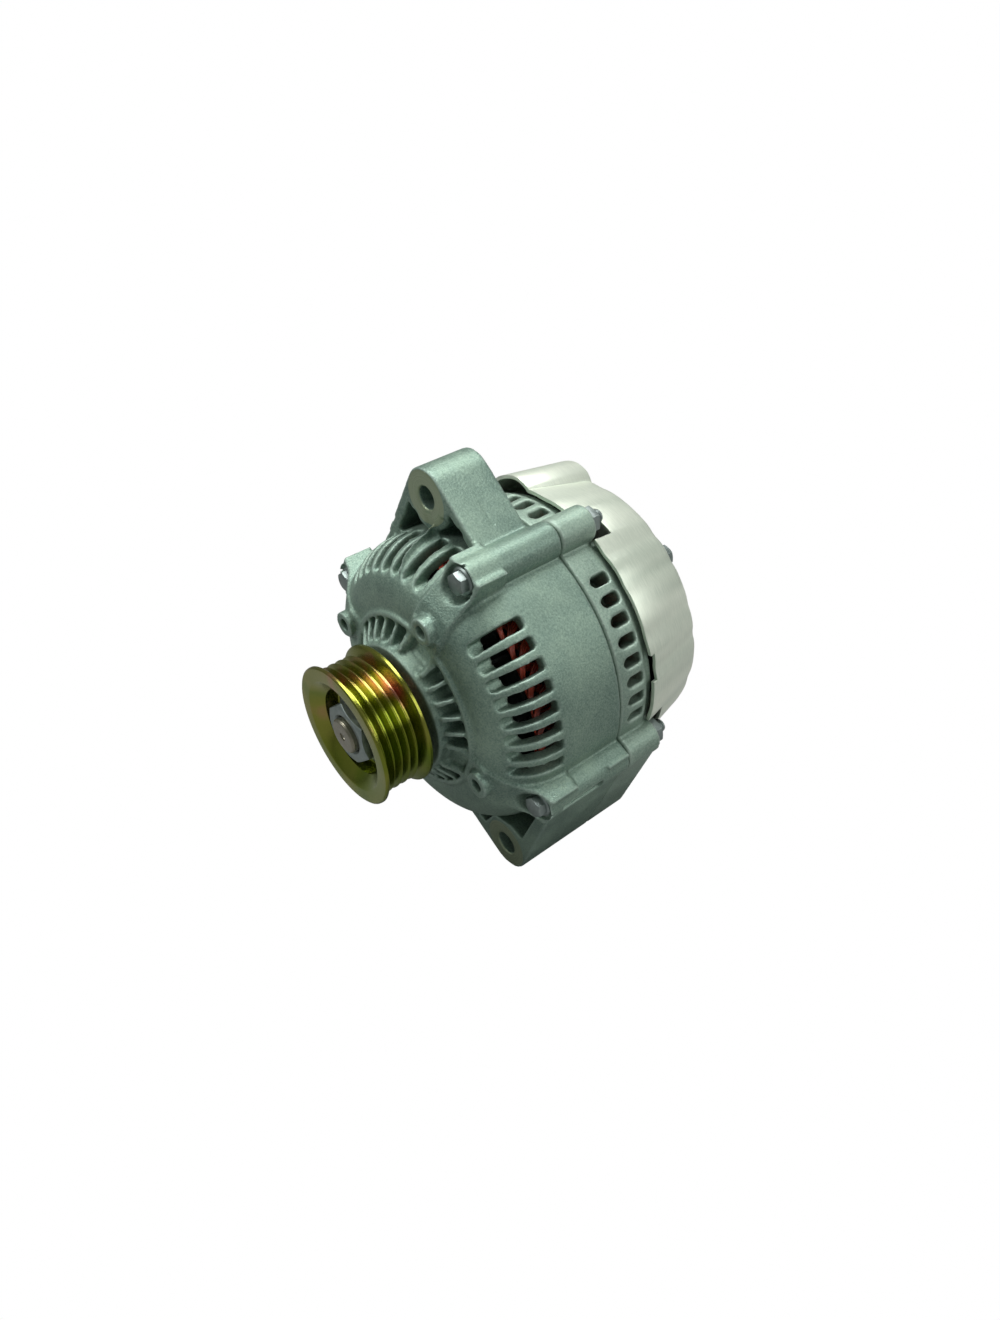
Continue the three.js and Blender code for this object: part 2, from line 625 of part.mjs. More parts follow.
piece('lock_washer', tube(SHAFT.r + FIT_GAP, 15.2, 8.6, 10.2, MID_SEG), ZINC);
piece('pulley_nut', hexBar(24.0, 2.0, 8.3, 0, 0).subtract(disc(SHAFT.noseR + FIT_GAP, 1.0, 11.0, MID_SEG))
  .intersect(turned([[0, 1.9], [11.8, 1.9], [14.0, 3.2], [14.0, 8.4], [0, 8.4]], MID_SEG)), ZINC);

// ---------- through bolts ----------
BOLT_DEG.forEach((deg, k) => {
  const [x, z] = polar(BOLT.circleR, deg);
  const seat = BOLT.seatY - FIT_GAP;
  piece(`through_bolt_${k + 1}`, joined([
    bar(BOLT.shankR, seat - 1.0, 114.0, x, z, 16),
    bar(6.4, seat - 1.3, seat, x, z, SMALL_SEG),
    hexBar(BOLT.headAF, seat - BOLT.headH, seat - 1.0, x, z),
  ]), ZINC);
  piece(`bolt_nut_${k + 1}`, hexBar(BOLT.headAF, 106.3, 110.3, x, z).subtract(
    bar(BOLT.shankR + FIT_GAP, 104.0, 112.0, x, z, 16),
  ), ZINC);
});

// ---------- rectifier, regulator and brush gear ----------
function sector(rIn, rOut, fromDeg, toDeg) {
  const shape = new THREE.Shape();
  shape.absarc(0, 0, rOut, radians(fromDeg), radians(toDeg), false);
  shape.absarc(0, 0, rIn, radians(toDeg), radians(fromDeg), true);
  return shape;
}
const POST_CLEAR = POST.degs.map(
  (deg) => bar(POST.r + 1.2, 100.0, 138.0, ...polar(POST.circleR, deg), SMALL_SEG),
);
const DIODE = { r: 6.2, circleR: 33.0, lowDegs: [-152.0, -78.0, -30.0], highDegs: [-132.0, -56.0, -8.0] };
const lowHoles = DIODE.lowDegs.map(
  (deg) => bar(DIODE.r + FIT_GAP, 100.0, 130.0, ...polar(DIODE.circleR, deg)),
);
const highHoles = DIODE.highDegs.map(
  (deg) => bar(DIODE.r + FIT_GAP, 100.0, 130.0, ...polar(DIODE.circleR, deg)),
);
const STUD = { deg: -172.0, circleR: 36.0, r: 3.0 };
const [studX, studZ] = polar(STUD.circleR, STUD.deg);
piece('ground_heat_sink', without(prism(sector(16.0, 52.0, -162, 26), 108.0, 111.0), [
  ...lowHoles, ...POST_CLEAR,
]), SINK);
piece('positive_heat_sink', without(prism(sector(16.0, 50.0, -182, 20), 120.0, 123.0), [
  ...highHoles, ...POST_CLEAR, bar(STUD.r + FIT_GAP, 100.0, 140.0, studX, studZ),
]), SINK);
function diode(name, deg, y0) {
  const [x, z] = polar(DIODE.circleR, deg);
  piece(name, joined([
    bar(DIODE.r, y0, y0 + 4.6, x, z),
    bar(1.2, y0 - 3.0, y0 + 0.4, x, z, 6),
  ]), ZINC);
}
DIODE.lowDegs.forEach((deg, k) => diode(`ground_diode_${k + 1}`, deg, 108.0));
DIODE.highDegs.forEach((deg, k) => diode(`positive_diode_${k + 1}`, deg, 119.4));
piece('output_stud', joined([
  bar(STUD.r, 112.6, 158.0, studX, studZ, 16),
  hexBar(11.0, 112.6, 119.7, studX, studZ),
]), ZINC);
piece('output_insulator', shifted(joined([
  tube(STUD.r + FIT_GAP, 5.4, 123.3, 144.4, SMALL_SEG),
  tube(STUD.r + FIT_GAP, 8.6, 139.9, 144.4, SMALL_SEG),
]), studX, 0, studZ), PLASTIC);
piece('output_nut', hexBar(11.0, 144.8, 150.4, studX, studZ).subtract(
  bar(STUD.r + FIT_GAP, 140.0, 156.0, studX, studZ, 16),
), ZINC);

const HOLDER = { halfX: 6.6, z0: 12.0, z1: 34.6, y0: 108.2, y1: 129.4 };
const BRUSH = { halfX: 3.2, halfY: 2.4, z1: 23.0 };
const brushY = [SLIP.firstY + SLIP.width / 2, SLIP.secondY + SLIP.width / 2];
const brushWells = brushY.map((y) => block(
  -BRUSH.halfX - FIT_GAP, BRUSH.halfX + FIT_GAP,
  y - BRUSH.halfY - FIT_GAP, y + BRUSH.halfY + FIT_GAP,
  5.0, HOLDER.z1 - 2.0,
));
piece('brush_holder', without(joined([
  block(-HOLDER.halfX, HOLDER.halfX, HOLDER.y0, HOLDER.y1, HOLDER.z0, HOLDER.z1),
  block(-14.6, -HOLDER.halfX, 112.0, 117.0, 24.0, HOLDER.z1),
]), brushWells), PLASTIC);
const ringTrack = disc(SLIP.rOut + FIT_GAP, 105.0, 131.0, MID_SEG);
brushY.forEach((y, k) => {
  piece(`brush_${k + 1}`, block(
    -BRUSH.halfX, BRUSH.halfX, y - BRUSH.halfY, y + BRUSH.halfY, 6.2, BRUSH.z1,
  ).subtract(ringTrack), CARBON);
  const coilPath = new THREE.CurvePath();
  const points = [];
  const TURNS = 4;
  const STEPS = 32;
  for (let i = 0; i <= STEPS; i += 1) {
    const angle = (i / STEPS) * TURNS * 2 * Math.PI;
    const rise = BRUSH.z1 + 0.7 + (i / STEPS) * (HOLDER.z1 - 2.0 - BRUSH.z1 - 1.4);
    points.push(new THREE.Vector3(1.6 * Math.cos(angle), y + 1.6 * Math.sin(angle), rise));
  }
  coilPath.add(new THREE.CatmullRomCurve3(points));
  const wire = new THREE.Shape();
  wire.absarc(0, 0, 0.3, 0, 2 * Math.PI, false);
  const spring = new THREE.ExtrudeGeometry(wire, {
    steps: 28, extrudePath: coilPath.curves[0], bevelEnabled: false, curveSegments: 2,
  });
  piece(`brush_spring_${k + 1}`, solidOf(spring), STEEL);
});

// The regulator sits beside the brush holder under the raised part of the cover.
const REG = { x0: -41.0, x1: -15.0, y0: 108.4, y1: 126.0, z0: 16.0, z1: 36.0 };
const regFins = [0, 1, 2, 3, 4].map((k) => block(
  REG.x0 + 2.0 + k * 4.8, REG.x0 + 3.8 + k * 4.8, REG.y1 - 1, 131.0, REG.z0 + 2.0, REG.z1 - 2.0,
));
piece('voltage_regulator', without(joined([
  block(REG.x0, REG.x1, REG.y0, REG.y1, REG.z0, REG.z1),
  ...regFins,
]), POST_CLEAR), SINK);

// ---------- connector socket ----------
const SOCKET = { x0: -24.0, x1: -8.0, y0: 118.0, y1: 143.0, z0: 36.6, z1: 47.6, wall: 1.3, depth: 13.0 };
piece('connector_socket', without(joined([
  block(SOCKET.x0, SOCKET.x1, SOCKET.y0, SOCKET.y1, SOCKET.z0, SOCKET.z1),
]), [
  block(
    SOCKET.x0 + SOCKET.wall, SOCKET.x1 - SOCKET.wall,
    SOCKET.y1 - SOCKET.depth, SOCKET.y1 + 1,
    SOCKET.z0 + SOCKET.wall, SOCKET.z1 - SOCKET.wall,
  ),
  block(-19.6, -18.4, 126.0, 131.0, 40.4, 43.8),
  block(-13.6, -12.4, 126.0, 131.0, 40.4, 43.8),
]), PLASTIC);
[-19.0, -13.0].forEach((x, k) => {
  piece(`connector_pin_${k + 1}`, block(x - 0.3, x + 0.3, 127.0, 139.6, 40.9, 43.3), BRIGHT_COPPER);
});

// ---------- rear cover ----------
// Pressed sheet cup, tapered towards the back, with one raised corner over the connector.
function coverSolid(inset, frontY) {
  const cup = turned([
    [0, frontY],
    [COVER.frontR - inset, frontY],
    [COVER.backR - inset, COVER.cornerY],
    [56.6 - inset, 137.6 - inset / 2],
    [COVER.faceR - inset / 2, COVER.backY - inset],
    [0, COVER.backY - inset],
  ], HOUSING_SEG);
  const raised = new THREE.ExtrudeGeometry(outline([
    [6.0 - inset, 50.0],
    [3.0 - inset, 63.6 - inset],
    [-7.0 - inset / 3, 68.6 - inset],
    [-17.0 + inset / 3, 66.4 - inset],
    [-27.0 + inset, 57.6 - inset],
    [-24.0 + inset, 48.0],
  ]), { depth: COVER.backY - 2.0 - inset - frontY, bevelEnabled: false });
  raised.rotateX(Math.PI / 2);
  raised.translate(0, COVER.backY - 2.0 - inset, 0);
  const position = raised.attributes.position;
  for (let i = 0; i < position.count; i += 1) {
    if (position.getY(i) > 120) {
      position.setX(i, position.getX(i) * 0.93);
      position.setZ(i, position.getZ(i) * 0.93);
    }
  }
  return cup.add(solidOf(raised));
}
const coverCuts = BOLT_DEG.map(
  (deg) => bar(BOLT.bossR + 0.8, 100.0, 115.2, ...polar(BOLT.circleR, deg), MID_SEG),
);
POST.degs.forEach((deg) => {
  coverCuts.push(bar(POST.screwR + 0.3, 130.0, 141.0, ...polar(POST.circleR, deg), 12));
});
coverCuts.push(bar(5.8, 130.0, 141.0, studX, studZ, SMALL_SEG));
coverCuts.push(block(SOCKET.x0 - 0.5, SOCKET.x1 + 0.5, 130.0, 141.0, SOCKET.z0 - 0.5, SOCKET.z1 + 0.5));
coverCuts.push(at(block(58.0, 70.0, 100.0, 107.4, -7.0, 5.0), 3));
const COVER_VENT = { rIn: 15.0, rOut: 30.0, degs: [0, 72, -52, -104], halfDeg: 18 };
COVER_VENT.degs.forEach((deg) => {
  [0, 1, 2].forEach((k) => {
    coverCuts.push(at(block(COVER_VENT.rIn, COVER_VENT.rOut, 136.0, 141.0, k * 5 - 6.6, k * 5 - 3.4), deg));
  });
});
const coverInside = coverSolid(COVER.sheet, COVER.frontY - 2);
piece('rear_cover', without(coverSolid(0, COVER.frontY), [coverInside, ...coverCuts]), TIN);
POST.degs.forEach((deg, k) => {
  const [x, z] = polar(POST.circleR, deg);
  piece(`cover_screw_${k + 1}`, joined([
    bar(POST.screwR, 123.0, 140.4, x, z, 12),
    bar(5.6, 139.8, 141.0, x, z, SMALL_SEG),
    hexBar(8.0, 140.6, 145.0, x, z),
  ]), ZINC);
});

export default alternator;
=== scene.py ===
import math

import bmesh
import bpy
from mathutils import Matrix, Vector


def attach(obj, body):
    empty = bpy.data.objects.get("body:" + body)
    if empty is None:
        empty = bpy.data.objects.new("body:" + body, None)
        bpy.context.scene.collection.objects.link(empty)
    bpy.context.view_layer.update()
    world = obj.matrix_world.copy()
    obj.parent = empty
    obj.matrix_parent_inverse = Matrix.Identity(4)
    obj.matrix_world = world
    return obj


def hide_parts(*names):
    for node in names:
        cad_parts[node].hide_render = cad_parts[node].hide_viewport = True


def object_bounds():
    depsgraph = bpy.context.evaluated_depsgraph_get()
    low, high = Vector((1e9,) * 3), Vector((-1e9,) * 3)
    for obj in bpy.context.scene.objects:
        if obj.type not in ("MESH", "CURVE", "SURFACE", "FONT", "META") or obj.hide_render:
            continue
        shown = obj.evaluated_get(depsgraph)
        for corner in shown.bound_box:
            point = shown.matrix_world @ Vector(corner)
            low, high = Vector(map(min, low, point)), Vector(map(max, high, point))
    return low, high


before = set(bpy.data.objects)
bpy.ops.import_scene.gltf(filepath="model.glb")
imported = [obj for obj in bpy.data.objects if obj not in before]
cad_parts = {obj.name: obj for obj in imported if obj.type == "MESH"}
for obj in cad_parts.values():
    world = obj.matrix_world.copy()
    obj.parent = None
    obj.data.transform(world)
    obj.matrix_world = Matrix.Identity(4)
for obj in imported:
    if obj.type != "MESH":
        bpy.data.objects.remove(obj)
cad_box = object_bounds()

# ---------- camera ----------
# One still camera, above and to the right of the pulley end, looking back along the barrel.
# Its three directions stand square to each other, and its lens is as long as its sensor is wide.
view_right = Vector((0.62155, 0.76884, -0.15020))
view_down = Vector((0.31401, -0.42017, -0.85139))
view_ahead = Vector((-0.71769, 0.48201, -0.50257))
view_from = Vector((0.30541, -0.12674, 0.21011))
camera_data = bpy.data.cameras.new("camera")
camera_data.sensor_fit = "HORIZONTAL"
camera_data.sensor_width = 36.0
camera_data.lens = 36.0
camera_data.clip_start = 0.01
camera_data.clip_end = 30.0
camera = bpy.data.objects.new("camera", camera_data)
camera_turn = Matrix((view_right, -view_down, -view_ahead)).transposed().to_4x4()
camera.matrix_world = Matrix.Translation(view_from) @ camera_turn
bpy.context.scene.collection.objects.link(camera)
bpy.context.scene.camera = camera

# ---------- stator core ----------
# A stack of thin slotted steel sheets, pressed into the barrel and clamped between the two castings.
# The sheet edges show as fine rings along the stack.


def add(tree, kind, inputs=None, **settings):
    """A shader node with its settings and its inputs, each a value or another node's output."""
    node = tree.nodes.new(kind)
    for key, value in settings.items():
        setattr(node, key, value)
    for key, value in (inputs or {}).items():
        if isinstance(value, bpy.types.NodeSocket):
            tree.links.new(value, node.inputs[key])
        else:
            node.inputs[key].default_value = value
    return node


def new_group(name, inputs, outputs):
    """An empty shader group with named inputs and outputs, and its two end nodes."""
    tree = bpy.data.node_groups.new(name, "ShaderNodeTree")
    for label, kind, value in inputs:
        socket = tree.interface.new_socket(label, in_out="INPUT", socket_type=kind)
        socket.default_value = value
    for label, kind in outputs:
        tree.interface.new_socket(label, in_out="OUTPUT", socket_type=kind)
    return tree, tree.nodes.new("NodeGroupInput"), tree.nodes.new("NodeGroupOutput")


def new_material(name, metallic, roughness, **plain):
    """A Principled material and its node tree; plain holds values set on the shader's own sockets."""
    material = bpy.data.materials.new(name)
    material.use_nodes = True
    tree = material.node_tree
    shader = tree.nodes["Principled BSDF"]
    shader.inputs["Metallic"].default_value = metallic
    shader.inputs["Roughness"].default_value = roughness
    for key, value in plain.items():
        shader.inputs[key.replace("_", " ")].default_value = value
    return material, tree, shader


def use_group(tree, group_tree, **values):
    """Places a group in a tree; values are set on the sockets of the same name."""
    node = tree.nodes.new("ShaderNodeGroup")
    node.node_tree = group_tree
    for key, value in values.items():
        node.inputs[key.replace("_", " ")].default_value = value
    return node


def relief(tree, shader, height, distance, strength=1.0):
    """Feeds a height into the shader's normal; distance is in metres."""
    bump = add(tree, "ShaderNodeBump", {"Height": height, "Distance": distance, "Strength": strength})
    tree.links.new(bump.outputs["Normal"], shader.inputs["Normal"])


def dress(material, *names):
    """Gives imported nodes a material."""
    for name in names:
        for material_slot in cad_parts[name].material_slots:
            material_slot.link = "OBJECT"
            material_slot.material = material


# Machining marks: fine rings round an axis parallel to the shaft, with a little wander.
FLOAT, COLOUR, VECTOR = "NodeSocketFloat", "NodeSocketColor", "NodeSocketVector"
turning_marks, marks_in, marks_out = new_group(
    "turning_marks",
    [("Centre", VECTOR, (0, 0, 0)), ("Rings per metre", FLOAT, 2500.0), ("Wander", FLOAT, 0.3)],
    [("Height", FLOAT), ("Streak", FLOAT)],
)
marks_place = add(turning_marks, "ShaderNodeTexCoord")
marks_offset = add(turning_marks, "ShaderNodeVectorMath", {
    0: marks_place.outputs["Object"], 1: marks_in.outputs["Centre"],
}, operation="SUBTRACT")
marks_flat = add(turning_marks, "ShaderNodeVectorMath", {
    0: marks_offset.outputs[0], 1: (1.0, 0.0, 1.0),
}, operation="MULTIPLY")
marks_radius = add(turning_marks, "ShaderNodeVectorMath", {0: marks_flat.outputs[0]}, operation="LENGTH")
marks_axis = add(turning_marks, "ShaderNodeSeparateXYZ", {0: marks_offset.outputs[0]})
marks_sum = add(turning_marks, "ShaderNodeMath", {
    0: marks_radius.outputs["Value"], 1: marks_axis.outputs["Y"],
}, operation="ADD")
marks_scaled = add(turning_marks, "ShaderNodeMath", {
    0: marks_sum.outputs[0], 1: marks_in.outputs["Rings per metre"],
}, operation="MULTIPLY")
marks_noise = add(turning_marks, "ShaderNodeTexNoise", {
    "W": marks_scaled.outputs[0], "Scale": 1.0, "Detail": 3.0, "Roughness": 0.6,
}, noise_dimensions="1D")
marks_patch = add(turning_marks, "ShaderNodeTexNoise", {
    "Vector": marks_place.outputs["Object"], "Scale": 320.0, "Detail": 2.0,
})
marks_mix = add(turning_marks, "ShaderNodeMix", {
    "Factor": marks_in.outputs["Wander"], "A": marks_noise.outputs["Fac"], "B": marks_patch.outputs["Fac"],
})
turning_marks.links.new(marks_mix.outputs["Result"], marks_out.inputs["Height"])
turning_marks.links.new(marks_noise.outputs["Fac"], marks_out.inputs["Streak"])


def turned_metal(name, dark, light, roughness, rings=2500.0, metallic=1.0):
    """Bare metal left by a lathe or a press: two close tones and fine rings."""
    material, tree, shader = new_material(name, metallic, roughness)
    marks = use_group(tree, turning_marks, Rings_per_metre=rings)
    tone = add(tree, "ShaderNodeMix", {
        "Factor": marks.outputs["Height"], "A": (*dark, 1.0), "B": (*light, 1.0),
    }, data_type="RGBA")
    rough = add(tree, "ShaderNodeMapRange", {
        "Value": marks.outputs["Streak"], "To Min": roughness - 0.1, "To Max": roughness + 0.14,
    })
    tree.links.new(tone.outputs["Result"], shader.inputs["Base Color"])
    tree.links.new(rough.outputs["Result"], shader.inputs["Roughness"])
    relief(tree, shader, marks.outputs["Height"], 0.00005)
    return material


laminate = turned_metal("laminated_steel", (0.05, 0.05, 0.055), (0.16, 0.16, 0.165), 0.5, rings=1900.0)
dress(laminate, "stator_core")

# ---------- stator winding ----------
# Enamelled copper wire laid through the core's slots; each coil leaves one slot, loops over the
# end of the stack and drops into a slot further round. Dark red varnish holds the loops.
MM = 0.001


def winding_end(name, stack_y, crown_y):
    """One end of the winding: coils of four wires that loop from one slot to a later one."""
    curve = bpy.data.curves.new(name, "CURVE")
    curve.dimensions = "3D"
    curve.bevel_depth = 0.5 * MM
    curve.bevel_resolution = 1
    coils, reach_deg, steps = 36, 34.0, 10
    for coil in range(coils):
        for layer, shift in enumerate((-1.6, -0.4, 0.8, 2.0)):
            spline = curve.splines.new("POLY")
            spline.points.add(steps)
            for step in range(steps + 1):
                share = step / steps
                angle = math.radians(coil * 360.0 / coils + reach_deg * share + shift)
                radius = 49.2 + 5.2 * share + 0.45 * layer * (1 - share)
                lift = math.sin(math.pi * share) ** 0.55
                y = stack_y + (crown_y - stack_y) * lift * (0.92 + 0.02 * layer)
                spline.points[step].co = (
                    radius * math.cos(angle) * MM, y * MM, radius * math.sin(angle) * MM, 1.0,
                )
    piece = bpy.data.objects.new(name, curve)
    bpy.context.scene.collection.objects.link(piece)
    return piece


varnished_wire, wire_tree, wire_shader = new_material("varnished_wire", 0.15, 0.32, Coat_Weight=0.5)
wire_place = add(wire_tree, "ShaderNodeTexCoord")
wire_noise = add(wire_tree, "ShaderNodeTexNoise", {
    "Vector": wire_place.outputs["Object"], "Scale": 260.0, "Detail": 4.0,
})
wire_tone = add(wire_tree, "ShaderNodeValToRGB", {"Fac": wire_noise.outputs["Fac"]})
wire_tone.color_ramp.elements[0].position = 0.3
wire_tone.color_ramp.elements[0].color = (0.09, 0.012, 0.008, 1.0)
wire_tone.color_ramp.elements[1].position = 0.75
wire_tone.color_ramp.elements[1].color = (0.8, 0.1, 0.045, 1.0)
wire_tree.links.new(wire_tone.outputs["Color"], wire_shader.inputs["Base Color"])
relief(wire_tree, wire_shader, wire_noise.outputs["Fac"], 0.0001)
for winding in (winding_end("winding_front", 64.0, 53.0), winding_end("winding_rear", 90.6, 98.0)):
    winding.data.materials.append(varnished_wire)
    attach(winding, "housing")
    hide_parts("stator_winding")

# ---------- rotor poles, coil and fans ----------
# Two forged claw poles pressed on the shaft round one coil, with a pressed sheet fan on each side.
# They stay as packed: dull forged steel, a taped coil and plain sheet.
forged_steel = turned_metal("forged_steel", (0.12, 0.115, 0.11), (0.3, 0.29, 0.28), 0.55, rings=900.0)
fan_sheet = turned_metal("fan_sheet", (0.1, 0.11, 0.11), (0.2, 0.21, 0.2), 0.5, rings=700.0)
dress(forged_steel, "front_claw_pole", "rear_claw_pole")
dress(fan_sheet, "front_fan", "rear_fan")
dress(varnished_wire, "field_coil")

# ---------- bearings ----------
# Ground steel rings with a pressed cage between them. One bearing sits in the drive end hub behind a
# sheet retainer plate, the other in the rear wall.
ground_steel = turned_metal("ground_steel", (0.42, 0.43, 0.44), (0.66, 0.67, 0.68), 0.24, rings=5000.0)
dress(
    ground_steel, "front_bearing_outer_ring", "front_bearing_inner_ring", "front_bearing_ball_cage",
    "rear_bearing_outer_ring", "rear_bearing_inner_ring", "rear_bearing_ball_cage",
)
dress(fan_sheet, "bearing_retainer")

# ---------- drive end housing ----------
# The front casting: a domed aluminium bell with a finned hub, air slots, the threaded upper lug and the
# front half of the pivot foot. Sand textured and left bare, with machined faces only where brackets sit.
BOLT_DEGREES = (60.5, -29.5, -119.5, 150.5)
BOLT_CIRCLE = 65.0
BETWEEN_BOLTS = 15.5  # degrees, halfway from one bolt to the next


def polar(radius, degrees):
    """The x and z of a point at that radius and angle round the shaft."""
    return radius * math.cos(math.radians(degrees)), radius * math.sin(math.radians(degrees))


def raw_solid(points, faces):
    """A closed solid from points in millimetres, its faces turned outwards."""
    mesh = bpy.data.meshes.new("raw")
    mesh.from_pydata([(x * MM, y * MM, z * MM) for x, y, z in points], [], faces)
    work = bmesh.new()
    work.from_mesh(mesh)
    bmesh.ops.remove_doubles(work, verts=work.verts, dist=1e-7)
    bmesh.ops.recalc_face_normals(work, faces=work.faces)
    work.to_mesh(mesh)
    work.free()
    return bpy.data.objects.new("raw", mesh)


def turned(profile, segments=144, x=0.0, z=0.0, swell=None):
    """A closed [radius, y] outline turned about an axis parallel to the shaft."""
    points = []
    for step in range(segments):
        angle = 2 * math.pi * step / segments
        for radius, y in profile:
            grown = radius + (swell(math.degrees(angle), radius) if swell else 0.0)
            points.append((x + grown * math.cos(angle), y, z + grown * math.sin(angle)))
    count = len(profile)
    faces = []
    for step in range(segments):
        here, there = step * count, ((step + 1) % segments) * count
        for k in range(count):
            after = (k + 1) % count
            if profile[k][0] > 0 or profile[after][0] > 0:
                faces.append((here + k, here + after, there + after, there + k))
    return raw_solid(points, faces)


def bar(radius, y0, y1, x, z, segments=40):
    """A plain round bar, parallel to the shaft."""
    return turned([(0, y0), (radius, y0), (radius, y1), (0, y1)], segments, x, z)


def run(outline, place):
    """An outline carried from one end to the other; place gives the point at end 0 or 1."""
    count = len(outline)
    points = [place(a, b, 0) for a, b in outline] + [place(a, b, 1) for a, b in outline]
    faces = [tuple(range(count)), tuple(range(2 * count - 1, count - 1, -1))]
    faces += [(k, (k + 1) % count, count + (k + 1) % count, count + k) for k in range(count)]
    return raw_solid(points, faces)


def prism(outline, y0, y1, taper=1.0):
    """An [x, z] outline run along the shaft, drawn in by taper at the far end."""
    def place(a, b, end):
        return (a * (taper if end else 1), (y0, y1)[end], b * (taper if end else 1))
    return run(outline, place)


def slab(outline, width, degrees, offset=0.0):
    """A [radius, y] outline standing on the barrel at that angle, width across."""
    cos, sin = math.cos(math.radians(degrees)), math.sin(math.radians(degrees))

    def place(a, b, end):
        across = offset + (-width / 2, width / 2)[end]
        return (a * cos - across * sin, b, a * sin + across * cos)
    return run(outline, place)


def radial(outline, r0, r1, degrees):
    """A [y, across] outline run outwards between two radii at that angle."""
    cos, sin = math.cos(math.radians(degrees)), math.sin(math.radians(degrees))

    def place(a, b, end):
        radius = (r0, r1)[end]
        return (radius * cos - b * sin, a, radius * sin + b * cos)
    return run(outline, place)


def smoothed(points, steps=5):
    """A curve through the given points, with extra points between them."""
    out = []
    last = len(points) - 1
    for k in range(last):
        p0, p1, p2, p3 = (points[min(max(k + j, 0), last)] for j in (-1, 0, 1, 2))
        for step in range(steps):
            t = step / steps
            out.append(tuple(
                0.5 * (2 * b + (c - a) * t + (2 * a - 5 * b + 4 * c - d) * t * t
                       + (3 * b - a - 3 * c + d) * t ** 3)
                for a, b, c, d in zip(p0, p1, p2, p3)
            ))
    return out + [points[-1]]


def lug_outline(hole, radius, right_foot, left_foot, turn):
    """A wedge with a round nose at the bolt hole and walls running down to two feet on the barrel."""
    def tangent(foot, side):
        dx, dz = foot[0] - hole[0], foot[1] - hole[1]
        return math.atan2(dz, dx) + side * math.acos(radius / math.hypot(dx, dz))
    first, last = tangent(right_foot, turn), tangent(left_foot, -turn)
    sweep = (last - first) % (2 * math.pi) if turn > 0 else -((first - last) % (2 * math.pi))
    nose = []
    for k in range(25):
        angle = first + sweep * k / 24
        nose.append((hole[0] + radius * math.cos(angle), hole[1] + radius * math.sin(angle)))
    return [right_foot, *nose, left_foot, (0.0, 0.0)]


def held(name, objects):
    """The objects in a collection of their own, for a boolean to read."""
    collection = bpy.data.collections.new(name)
    for item in objects:
        collection.objects.link(item)
    return collection


def settled(source, name):
    """The object with its modifiers applied, as a new object."""
    source_data = source.data
    mesh = bpy.data.meshes.new_from_object(source.evaluated_get(bpy.context.evaluated_depsgraph_get()))
    mesh.name = name
    bpy.data.objects.remove(source)
    bpy.data.meshes.remove(source_data)
    piece = bpy.data.objects.new(name, mesh)
    bpy.context.scene.collection.objects.link(piece)
    return piece


def cut_out(name, solids, cutters, kept_inside=None):
    """Joins solids, takes the cutters away and keeps what lies inside kept_inside."""
    base = solids[0]
    bpy.context.scene.collection.objects.link(base)
    gone = [*solids[1:], *cutters]
    for label, group, operation in (("joined", solids[1:], "UNION"), ("cut", cutters, "DIFFERENCE")):
        if group:
            step = base.modifiers.new(label, "BOOLEAN")
            step.operation = operation
            step.solver = "MANIFOLD"
            step.operand_type = "COLLECTION"
            step.collection = held(f"{name}_{label}", group)
    if kept_inside:
        step = base.modifiers.new("trimmed", "BOOLEAN")
        step.operation = "INTERSECT"
        step.solver = "MANIFOLD"
        step.object = kept_inside
        gone.append(kept_inside)
    piece = settled(base, name)
    for item in gone:
        data = item.data
        bpy.data.objects.remove(item)
        bpy.data.meshes.remove(data)
    return piece


def finished(piece, material):
    """Gives a new piece one material and no other."""
    piece.data.materials.clear()
    piece.data.materials.append(material)
    return piece


def as_cast(piece, voxel=0.75, rounding=3, faces_wanted=190000):
    """Rounds every edge and corner the way a mould does, then thins flat areas."""
    name = piece.name
    remesh = piece.modifiers.new("skin", "REMESH")
    remesh.mode = "VOXEL"
    remesh.voxel_size = voxel * MM
    remesh.use_smooth_shade = True
    soften = piece.modifiers.new("rounding", "SMOOTH")
    soften.factor = 0.5
    soften.iterations = rounding
    cast = settled(piece, name)
    triangles = 2 * len(cast.data.polygons)
    if triangles > faces_wanted:
        thin = cast.modifiers.new("thinned", "DECIMATE")
        thin.ratio = faces_wanted / triangles
        cast = settled(cast, name)
    cast.data.shade_smooth()
    return cast


def slot_outline(y0, y1, width):
    """An air slot: square at the far end and round at the tip."""
    half = width / 2
    tip = []
    for degrees in range(-75, 76, 25):
        along, across = polar(half, degrees)
        tip.append((y0 + half - along, across))
    return [(y1, -half), *tip, (y1, half)]


SLOT_STEP = 7.85
SLOT_DEGREES = [12.5 + quarter * 90 + (k - 3.5) * SLOT_STEP for quarter in range(3) for k in range(8)]
LUG_CENTRE, LUG_HOLE = (0.0, 77.5), 4.7
FOOT_CENTRE, FOOT_HOLE = (22.3, -74.2), 5.2
FOOT_OUTLINE = lug_outline(FOOT_CENTRE, 12.0, (60.5, -36.0), (-12.0, -60.0), -1)
FOOT_POCKET = [
    (28.0, -61.4), (34.6, -64.8), (51.5, -40.0), (40.0, -36.0),
    (0.0, -50.0), (-6.5, -58.0), (8.5, -70.0), (17.0, -61.0),
]
dome = smoothed([(39.0, 34.2), (45.0, 34.6), (51.5, 36.8), (57.2, 41.4), (61.4, 49.0), (62.8, 58.8)])
front_shell = turned([
    (0, 26), (27.0, 26), (27.6, 26.6), (28.4, 36.6), (36.4, 36.6), (36.4, 32.9), (36.9, 32.6), (38.5, 32.6),
    *dome, (62.8, 88.2), (0, 88.2),
], 180)
